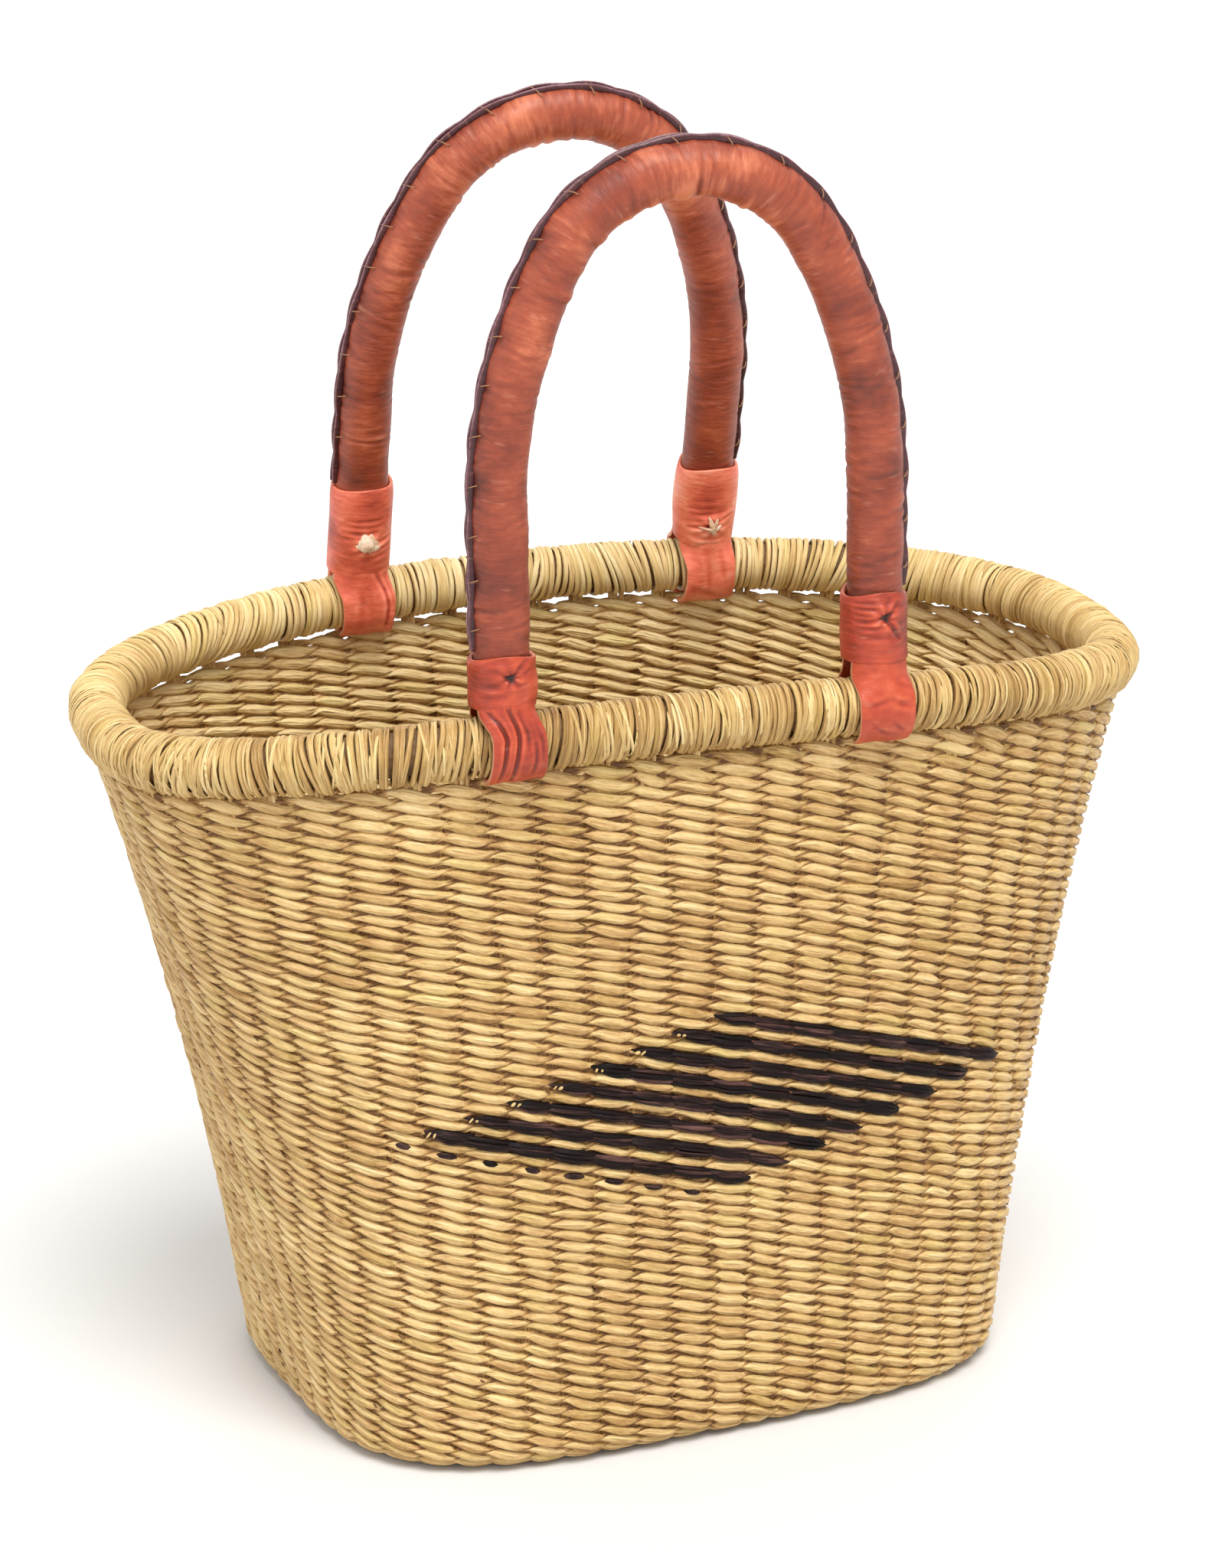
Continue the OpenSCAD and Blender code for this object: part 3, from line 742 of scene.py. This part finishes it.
def cover_part(handle, seed):
    """The leather round an arch: creased, bunched under the crown and pulled in at the seam."""
    rng = np.random.default_rng(seed)
    p, out, s = arch(0.9, FOOT_Z + 3.0, FOOT_Z + 3.0)
    sides = 48
    angle = np.arange(sides) * TAU / sides
    cos, sin = around(sides)
    total = s[-1]
    radius = COVER_R + 0.16 * np.sin(s / 9.0 + 2.0 * np.sin(s / 23.0))[:, None]
    radius = radius + 0.13 * ripple(seed, (angle / TAU)[None], (s / 60.0)[:, None], round_u=4, along_v=2.0)
    bend = bell(s - total / 2, 95.0)
    grid_s = s[:, None]
    crease_count, bunch_count = 230, 120
    for _ in range(crease_count):
        at, middle = rng.uniform(0, total), rng.uniform(0, TAU)
        width, reach = rng.uniform(0.7, 1.5), rng.uniform(4.0, 13.0)
        slope = rng.normal(0, 0.22)
        depth = rng.uniform(0.08, 0.32)
        near = np.abs(s - at) < reach + 8
        c = wrap_mm(angle, middle, COVER_R)[None]
        d = grid_s[near] - at - slope * c
        fade = bell(c, reach, 4)
        radius[near] += depth * fade * (0.5 * bell(np.abs(d) - 1.7 * width, width) - bell(d, width))
    # the leather bunches on the inside of the bend
    for _ in range(bunch_count):
        at = rng.normal(total / 2, 85.0)
        c = wrap_mm(angle, np.pi + rng.normal(0, 0.5), COVER_R)[None]
        d = grid_s - at
        bunch = rng.uniform(0.15, 0.42) * bell(c, rng.uniform(5, 11))
        radius += bunch * bell(d, rng.uniform(1.4, 2.6)) * (0.25 + 0.75 * bend)[:, None]
    if handle == "front":
        # a short deep fold under the crown
        c = wrap_mm(angle, np.pi + 0.7, COVER_R)[None]
        radius -= 1.3 * bell(c, 8.0, 4) * bell(s - total / 2 + 3.0, 0.9)[:, None]
    # it is pulled in at each stitch of the seam
    edge = bell(np.abs(wrap_mm(angle, 0.0, COVER_R)), 6.5)[None]
    radius += edge * (0.55 * np.abs(np.sin(np.pi * s / SEAM_STEP)) - 0.35)[:, None]
    away = out[:, None] * cos[:, None] + ACROSS * sin[:, None]
    rings = p[:, None] + radius[..., None] * away
    # painted light and shade: raised leather paler and dips darker, darker by the seam's groove, paler at
    # the crown, and the back handle paler than the front
    painted_handle_light = -0.2 if handle == "front" else 0.15
    tone = 1.6 * (radius - COVER_R) - 0.66 * edge + 0.75 * bend[:, None] + painted_handle_light
    grain = stacked(s[:, None], COVER_R * cos, COVER_R * sin)
    return leather_tubes(handle, rings, grain, rng.uniform(0, LEATHER_APART, 3), tone)


def seam_parts(handle, seed):
    """Two raised lips of leather along the outside of the arch, laced together."""
    rng = np.random.default_rng(seed)
    p, out, s = arch(1.0, FOOT_Z + CUFF_H[handle, 1] - 1.0, FOOT_Z + CUFF_H[handle, -1] - 1.0)
    parts = []
    cos, sin = around(10)
    for lip in (-1, 1):
        tall = 2.15 + 0.75 * np.abs(np.sin(np.pi * s / SEAM_STEP)) + 0.18 * np.sin(s / 5.1 + lip)
        sway = lip * (0.95 + 0.55 * np.abs(np.sin(np.pi * s / SEAM_STEP + 0.3 * lip)))
        middle = COVER_R + 0.35 * tall - 0.3
        out_by = middle[:, None] + 0.62 * tall[:, None] * spow(cos, 0.8)
        side_by = sway[:, None] + 0.72 * spow(sin, 0.8)
        rings = p[:, None] + out[:, None] * out_by[..., None] + ACROSS * side_by[..., None]
        grain = stacked(s[:, None], 1.4 * cos, 1.4 * sin)
        # painted highlight along the outer ridge of each lip, painted shade on the rest
        tone = -0.6 + 2.2 * unit(cos) ** 3
        parts.append(leather_tubes(handle, rings, grain, rng.uniform(0, LEATHER_APART, 3), tone))
    return parts


def lacing_part(handle, seed):
    """Thin thread that crosses the seam at each stitch."""
    rng = np.random.default_rng(seed)
    p, out, s = arch(1.0, FOOT_Z + CUFF_H[handle, 1], FOOT_Z + CUFF_H[handle, -1])
    stitch = np.arange(SEAM_STEP / 2, s[-1] - 4, SEAM_STEP)
    count = len(stitch)
    a = np.linspace(-1, 1, 13)
    at = stitch[:, None] + 2.2 * a + 0.3 * rng.normal(0, 1, (count, 1))
    turn = a * 0.46
    over = 1.75 * (1 - a ** 2) ** 0.6 + 0.15
    x, o = (np.stack([np.interp(at, s, v[:, i]) for i in range(3)], -1) for v in (p, out))
    away = o * np.cos(turn)[:, None] + ACROSS * np.sin(turn)[:, None]
    mid = x + away * (COVER_R + over)[:, None]
    ahead = normed(np.gradient(mid, axis=1))
    side = normed(np.cross(ahead, away))
    cos, sin = around(6)
    thread_r, thread_tone = 0.26, -2.4
    round_it = np.cross(side, ahead)[:, :, None] * cos[:, None] + side[:, :, None] * -sin[:, None]
    rings = mid[:, :, None] + thread_r * round_it
    grain = stacked((a * 5)[:, None], 0.4 * cos, 0.4 * sin)
    start = rng.uniform(0, LEATHER_APART, (count, 1, 1, 3))
    return leather_tubes(handle, rings, grain, start, thread_tone)


# folds of each cuff: up from the tie and round from its face, for both ends of a fold; then width and depth
CUFF_MARKS = per_foot(
    [(8, -9, 8.6, -2, 1.1, 0.5), (6.5, -11, 7, 0, 1.0, 0.35), (-4, -12, -3.6, -3, 1.2, 0.45),
     (-3, -1, -3.6, 6, 0.9, 0.4), (-9, -13, -8, -2, 1.2, 0.4), (3, 3, 8, 7, 1.2, 0.45),
     (1.0, 2.5, 2.5, 9, 0.9, 0.3)],
    [(4.5, -12, 3.4, -2, 0.9, 0.6), (1.6, -12, 1.0, -3, 0.9, 0.55), (-1.6, -12, -1.2, -2, 0.9, 0.65),
     (-4.6, -12, -4.2, -1, 1.0, 0.6), (7.2, -12, 6.0, 0, 0.9, 0.5), (-0.6, 0.5, -9.5, 6.5, 0.9, 1.0),
     (1, 1, 6, 5, 0.9, 0.8), (2, -1, 7.5, 2, 0.9, 0.4), (-8, -10, -8.4, 4, 1.2, 0.5)],
    [(6, -10, 6.4, 4, 1.0, 0.5), (9.5, -11, 9.0, 8, 1.1, 0.45), (12, -9, 12.2, 9, 1.0, 0.5),
     (3.4, -12, 3.2, -4, 0.9, 0.4), (1, 4, 2, 12, 0.9, 0.5), (-3, 3, -1.8, 12, 0.9, 0.5),
     (-6, -2, -5.6, 12, 1.1, 0.4)],
    [(-0.5, -10, 0.5, -2, 0.9, 0.8), (6, -9, 6.8, 6, 1.0, 0.5), (9, -10, 8.5, 8, 1.1, 0.4),
     (-5, -7, -6, 7, 1.1, 0.4), (2, 2, 5, 9, 0.8, 0.5), (-9, -10, -8.5, 8, 1.2, 0.4)])
# where each cuff's lower edge is above the foot, and how much lower its top edge is cut than the CAD's
CUFF_START = per_foot(-0.6, 3.4, -0.6, -0.6)
CUFF_CUT = per_foot(2.0, 0.4, 0.0, 0.0)
# how much paler each cuff and each loop is than its leather, or darker where it is below 0
CUFF_TONE = per_foot(-0.1, -0.35, 0.0, 0.25)
LOOP_TONE = per_foot(-0.1, 0.45, 0.0, 0.3)


def over_foot(end, z):
    """A point on the axis of a handle's leg."""
    return np.array([end * LEG_X, 0.0, z])


def cuff_part(handle, end, seed):
    """A cuff round a foot: its outer skin from the bottom up, then over the top edge and down the inside."""
    rng = np.random.default_rng(seed)
    h = CUFF_H[handle, end]
    sides = 112
    angle = np.arange(sides) * TAU / sides
    cos, sin = around(sides)
    z_out = np.linspace(CUFF_START[handle, end], h, 74)
    tie = TIE_SHARE[handle, end] * h
    rise = (z_out - tie)[:, None]
    share = (z_out / h)[:, None]
    # the face looks to the front of the basket on both handles
    face = wrap_mm(angle, -np.pi / 2, CUFF_R)[None]
    rear = wrap_mm(angle, np.pi / 2, CUFF_R)[None]
    top_in = 0.7 * unit((share - 0.8) / 0.2) ** 2
    radius = CUFF_R + 0.25 - 0.35 * (1 - share) ** 2 - top_in + 0 * face
    radius = radius + 0.3 * ripple(seed, (angle / TAU)[None], share, round_u=4, along_v=1.2, waves=8)
    radius += creases(rise, face, CUFF_MARKS[handle, end])
    rear_marks = [(a, -c, b, -d, width, depth) for a, c, b, d, width, depth in CUFF_MARKS[handle, -end]]
    radius += 0.7 * creases(rise, rear, rear_marks)
    hole_shade = np.zeros(radius.shape)
    # a hole where the thong goes in, and a shallower one under its knot
    for middle, hole in ((face, handle == "front"), (rear, handle == "back")):
        d = np.hypot(rise, middle)
        spin = np.arctan2(rise, middle)
        corner = d * (1 + 0.25 * np.cos(3 * spin + 0.6))
        pucker = bell(d, 6.5) * (1 - bell(d, 1.6))
        radius += 0.5 * pucker * np.cos(7 * spin + seed) + 0.4 * bell(d - 4.2, 1.8)
        radius -= (1.3 if hole else 1.0) * bell(corner, 2.0, 4)
        hole_shade = np.maximum(hole_shade, (1.0 if hole else 0.5) * bell(corner, 1.7, 4))
    oval_x = 1.045
    top, bottom, low = radius[-1], radius[0], z_out[0]
    lip = [(top, h + 0.1, -0.6), (top, h - 0.1, -1.2), (top, h - 3.0, -1.9),
           (bottom, low + 1.6, -2.0), (bottom, low - 0.4, -1.6), (bottom, low - 0.5, -0.7)]
    lip_r = [np.maximum(edge_r + inset, COVER_R - 0.3) for edge_r, _, inset in lip]
    all_z = np.concatenate([z_out, [z for _, z, _ in lip]])[:, None]
    all_r = np.concatenate([radius, lip_r])
    rings = stacked(all_r * oval_x * cos, all_r * sin, all_z)
    # the top edge isn't cut quite straight
    tilt = 0.5 * np.sin(angle + seed) + 0.3 * np.sin(2 * angle + 2 * seed)
    tilt = tilt - 2.8 * cos ** 2 - CUFF_CUT[handle, end]
    rings[..., 2] += tilt * unit(rings[..., 2] / h) ** 4
    rings = rings + over_foot(end, FOOT_Z)
    tone = np.zeros(rings.shape[:-1])
    # painted light and shade: raised leather paler and folds darker
    tone[:len(z_out)] = 1.4 * (radius - radius.mean(axis=1, keepdims=True)) + CUFF_TONE[handle, end]
    edge = np.zeros(rings.shape[:-1])
    # painted shade: the holes are dark
    edge[:len(z_out)] = -hole_shade
    edge[len(z_out):len(z_out) + 2] = 0.25
    grain = stacked(rings[..., 2], CUFF_R * cos, CUFF_R * sin)
    return leather_tubes(handle, rings, grain, rng.uniform(0, LEATHER_APART, 3), tone, edge, closed=True)


# folds of each loop: along the strap from the top of its face and across it, for each point; width and depth
LOOP_MARKS = per_foot(
    [(3, -9, 9, -6.2, 16, -5.4, 24, -6.4, 34, -7.6, 0.8, 1.1),
     (3, -1.4, 10, -0.2, 18, -0.6, 26, -1.8, 36, -2.5, 0.8, 1.1), (5, 2.6, 14, 3.4, 20, 3.2, 0.7, 0.4),
     (18, 6.4, 25, 6.6, 32, 5.6, 0.8, 0.6), (12, 8.2, 18, 9.2, 24, 9.0, 0.8, 0.4)],
    [(22, -8, 19, 2, 1.0, 0.35), (20, 2, 23, 9, 1.0, 0.35), (30, -6, 34, 0, 0.9, 0.4),
     (29, 2, 33, 7, 0.9, 0.4), (13, 4, 15, 9, 0.9, 0.25)],
    [(3, 5.0, 10, 7.6, 18, 8.4, 26, 7.4, 0.9, 0.8), (4, 8.8, 12, 10.2, 20, 10.4, 0.8, 0.5),
     (10, -3, 25, -4, 1.2, 0.2)],
    [(6, -2, 24, -1, 1.2, 0.25), (8, 4, 22, 6, 1.2, 0.25), (24, -8, 30, 6, 1.4, 0.4)])
# how far each loop's strap runs up under its cuff, and how far it strays to the right over the roll
LOOP_RISE = per_foot(4.0, 8.0, 4.0, 4.0)
LOOP_STRAY = per_foot(2.6, 0.6, 2.0, 0.8)


def loop_part(handle, end, seed):
    """A strap round the rim roll, with both its ends under the cuff."""
    rng = np.random.default_rng(seed)
    mean = (LOOP_RI + LOOP_RO) / 2
    # its outline across the rim: down the front side, under the roll and up the back side
    side = [(11.4, FOOT_Z + LOOP_RISE[handle, end]), (12.2, FOOT_Z), (LOOP_RI, FOOT_Z * 0.55)]
    under = [(mean * math.cos(a), mean * math.sin(a)) for a in np.linspace(np.pi, TAU, 49)]
    line = np.array([(-y, z) for y, z in side] + under + side[::-1])
    run = run_along(line)
    v = np.linspace(0, run[-1], 110)
    yz = np.stack([np.interp(v, run, line[:, i]) for i in range(2)], -1)
    for _ in range(3):
        yz[1:-1] = (yz[:-2] + 2 * yz[1:-1] + yz[2:]) / 4
    step = normed(np.gradient(yz, axis=0))
    outward = np.stack([step[:, 1], -step[:, 0]], -1)
    # the strap's section: xs across it from edge to edge, and ns out from the middle of its thickness
    face, back, corner = 40, 8, 0.965
    xs = np.concatenate([np.linspace(1, -1, face) * corner, [-1.0, -corner], np.linspace(-0.9, 0.9, back),
                         [corner, 1.0]])
    ns = np.concatenate([np.full(face, 0.5), [0.1, -0.4], np.full(back, -0.5), [-0.4, 0.1]])
    half = LOOP_W / 2 + 0.35 * np.sin(v / 7 + seed) - 0.5 * bell(v - run[-1] / 2, 9)
    across = half[:, None] * xs
    lift = LOOP_T * ns + np.zeros_like(across)
    # on the strap's outer face, pressed folds and a slight crown
    folds = creases(v[:, None], across, LOOP_MARKS[handle, end])
    folds += 0.5 * creases(run[-1] - v[:, None], -across, LOOP_MARKS[handle, -end])
    crown = 0.8 * (1 - xs ** 2)[None] * bell(v - 20, 12)[:, None]
    lift += (folds + crown + 0.18 * ripple(seed, v[:, None] / 90, across / 30, round_u=4)) * (ns == 0.5)
    # the strap's sides pull in a little where the cuff holds them
    pinch = 1 - 0.03 * bell(v, 6) - 0.03 * bell(run[-1] - v, 6)
    across = across * pinch[:, None]
    # near its cuff the strap bends round the foot
    hug_z = 5.0
    hug = unit((yz[:, 1:] - hug_z) / (FOOT_Z - hug_z))
    hug = hug * hug * (3 - 2 * hug)
    across = across * (1 + 0.06 * hug)
    inset = hug * (CUFF_R - np.sqrt(np.maximum(CUFF_R ** 2 - across ** 2, 4.0)))
    lift = lift - inset * np.abs(outward[:, :1])
    stray = LOOP_STRAY[handle, end] * (1 - hug)
    rings = stacked(across + stray, yz[:, :1] + outward[:, :1] * lift, yz[:, 1:] + outward[:, 1:] * lift)
    rings = rings + over_foot(end, 0.0)
    # painted shade in the folds and painted light on their raised lips
    tone = 2.4 * folds + LOOP_TONE[handle, end]
    grain = stacked(v[:, None], across, lift) * [0.6, 1, 1]
    edge = 0.85 * (np.abs(xs) > corner)
    return leather_tubes(handle, rings, grain, rng.uniform(0, LEATHER_APART, 3), tone, edge)


# lobes of the knots: direction in degrees, length, width
KNOTS = per_foot(
    [(80, 4.4, 2.0), (20, 4.2, 1.8), (150, 4.2, 1.8), (215, 3.8, 1.6), (290, 4.0, 1.7)],
    [(105, 4.6, 1.8), (35, 4.0, 1.9), (170, 4.4, 1.6), (240, 3.6, 1.7), (320, 4.2, 1.5)],
    [(104, 6.4, 4.6), (72, 6.2, 4.6), (42, 5.6, 4.2), (12, 5.6, 3.8), (-12, 7.0, 2.6), (140, 5.2, 4.0),
     (176, 5.0, 3.0), (270, 2.2, 3.0)],
    [(108, 6.0, 2.0), (62, 5.2, 2.0), (8, 4.6, 1.9), (176, 6.0, 1.2), (240, 3.4, 1.9), (290, 4.4, 1.7)])


def knot_parts(handle, end, seed):
    """A fan of lobes, laid on the cuff, and the thong that holds it."""
    rng = np.random.default_rng(seed)
    tie = FOOT_Z + TIE_SHARE[handle, end] * CUFF_H[handle, end]
    middle = over_foot(end, tie)
    way = -SIDE[handle]          # the knot is on the side that faces the middle of the basket
    parts = []
    cos, sin = around(12)
    t = np.linspace(0, 1, 12)
    for degrees, length, width in KNOTS[handle, end]:
        c, s = math.cos(math.radians(degrees)), math.sin(math.radians(degrees))
        d = (length * t)[:, None]
        rise = (2.1 * (1 - t ** 1.6) + 0.35)[:, None]
        wide = (width * 0.62 * np.sqrt(np.clip(1 - t ** 2, 0.015, 1)))[:, None]
        thick = (0.75 * (1 - 0.6 * t))[:, None]
        x = d * c - s * wide * sin
        z = d * s + c * wide * sin
        height = CUFF_R + rise + thick * cos - 0.3
        y = way * np.sqrt(np.maximum(height ** 2 - x ** 2, 1.0))
        rings = stacked(x, y, z) + middle
        grain = stacked(d, wide * cos, wide * sin)
        start, tone = rng.uniform(0, LEATHER_APART, 3), 0.5 * rng.normal(0, 1)
        parts.append(leather_tubes(handle, rings, grain, start, tone, flip=way < 0))
    # the thong goes through the foot to a little under the hole on the other side
    run = (np.linspace(-CUFF_R + 5.0, CUFF_R + 1.4, 24) * way)[:, None]
    radius = (1.35 + 0.1 * np.sin(np.linspace(0, 20, 24)))[:, None]
    rings = stacked(radius * cos, run, radius * sin) + middle
    parts.append(leather_tubes(handle, rings, stacked(run, cos, sin), 0.0, -1.5, flip=way > 0))
    return parts


for number, handle in enumerate(("front", "back")):
    body = f"handle_{handle}"
    cuff_leather = CUFF if handle == "front" else CUFF_BACK_PAINTED_LIGHT
    cover = [cover_part(handle, 301 + number)]
    piece(f"{handle}_cover_leather", cover, body, COVER, [f"{handle}_cover"])
    piece(f"{handle}_seam_lips", seam_parts(handle, 311 + number), body, LACE, [f"{handle}_seam"])
    piece(f"{handle}_seam_lacing", [lacing_part(handle, 321 + number)], body, THONG)
    for end, word in ((-1, "left"), (1, "right")):
        seed = 331 + 10 * number + end
        for kind, make, kind_seed in (("cuff", cuff_part, seed), ("loop", loop_part, seed + 100)):
            node = f"{handle}_{kind}_{word}"
            part = make(handle, end, kind_seed)
            piece(f"{node}_leather", [part], body, cuff_leather, [node])
        piece(f"{handle}_knot_{word}", knot_parts(handle, end, seed + 200), body, THONG,
              [f"{handle}_tie_{word}"])


# ---- CAD nodes that still show
def plain_straw(name, shades):
    """Straw for a CAD node, which has no strand values of its own: its fibres follow the node's place."""
    t = Tree(name)
    place = t.add("TexCoord").outputs["Object"]
    fibre = t.noise(place, (900.0, 900.0, 60.0), 4.0)
    patch = t.noise(place, 40.0, 2.0)
    value = t.maths("MULTIPLY_ADD", patch, 0.4, t.maths("MULTIPLY", fibre, 0.6))
    colour = t.ramp(value, (0.2, 0.5, 0.8), linears(shades))
    rough = t.range(fibre, 0.3, 0.7, 0.7, 0.5)
    return t.finish(Base_Color=colour, Roughness=rough, Normal=t.bump(fibre, 0.0004, 0.6))


HIDDEN_STRAW = plain_straw("hidden_straw", [(70, 44, 18), (118, 84, 42), (150, 114, 64)])
BUNDLE_STRAW = plain_straw("bundle_straw", [(104, 72, 36), (168, 130, 78), (206, 172, 116)])
for name, material in (("rim_core", HIDDEN_STRAW), ("base_spokes", BUNDLE_STRAW),
                       ("front_core", BUNDLE_STRAW), ("back_core", BUNDLE_STRAW)):
    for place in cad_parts[name].material_slots:
        place.material = material


# ---- floor, light and camera
FLOOR_HALF, FLOOR_Z = 30, -0.0004       # metres; the floor lies just under the basket
floor = in_scene("floor", bpy.data.meshes.new("floor"))
corners = [(x * FLOOR_HALF, y * FLOOR_HALF, FLOOR_Z) for x, y in ((-1, -1), (1, -1), (1, 1), (-1, 1))]
floor.data.from_pydata(corners, [], [(0, 1, 2, 3)])
t = Tree("floor_paper")
soft = t.noise(t.add("TexCoord").outputs["Object"], 3.0, 2.0)
greys = t.ramp(soft, (0.3, 0.7), [(0.69, 0.69, 0.69, 1), (0.71, 0.71, 0.71, 1)])
floor.data.materials.append(t.finish(Base_Color=greys, Roughness=0.9))

world = scene.world or bpy.data.worlds.new("studio")
scene.world = world
world.use_nodes = True
sky = world.node_tree.nodes["Background"].inputs
sky["Color"].default_value, sky["Strength"].default_value = (1.0, 0.99, 0.97, 1), 0.82


def outwards(azimuth, elevation):
    """Direction from the basket, at angles in degrees: azimuth 0 is to its right and -90 to its front."""
    a, e = math.radians(azimuth), math.radians(elevation)
    return Vector((math.cos(e) * math.cos(a), math.cos(e) * math.sin(a), math.sin(e)))


def sun(name, azimuth, elevation, strength, spread, colour=(1, 1, 1)):
    """A broad lamp far away, at an azimuth that is 0 in front of the basket and grows to its right."""
    lamp = bpy.data.lights.new(name, "SUN")
    lamp.energy, lamp.angle, lamp.color = strength, math.radians(spread), colour
    obj = in_scene(name, lamp)
    obj.rotation_mode = "QUATERNION"
    obj.rotation_quaternion = outwards(azimuth - 90, elevation).to_track_quat("Z", "Y")


sun("key", 4, 64, 2.7, 32, (1.0, 0.985, 0.95))
sun("front_fill", -18, 22, 0.2, 40)
sun("side_fill", -80, 25, 0.35, 40)
sun("back_fill", 160, 40, 0.5, 40)

CAMERA_AZ, CAMERA_EL, CAMERA_ROLL = -107.18, 18.24, math.radians(-0.75)
CAMERA_TARGET, CAMERA_DIST = Vector((-0.03374, -0.11131, 0.2910)), 2.1375
back = outwards(CAMERA_AZ, CAMERA_EL)
camera = in_scene("camera", bpy.data.cameras.new("camera"))
camera.data.sensor_fit, camera.data.sensor_width, camera.data.lens = "HORIZONTAL", 36.0, 157.5
camera.data.clip_end = 200.0
right = Vector((0, 0, 1)).cross(back).normalized()
above = back.cross(right)
c, s = math.cos(CAMERA_ROLL), math.sin(CAMERA_ROLL)
right, above = right * c + above * s, above * c - right * s
camera.matrix_world = Matrix.Translation(CAMERA_TARGET + back * CAMERA_DIST) @ \
    Matrix((right, above, back)).transposed().to_4x4()
bpy.context.scene.camera = camera
scene.view_settings.view_transform = "Standard"
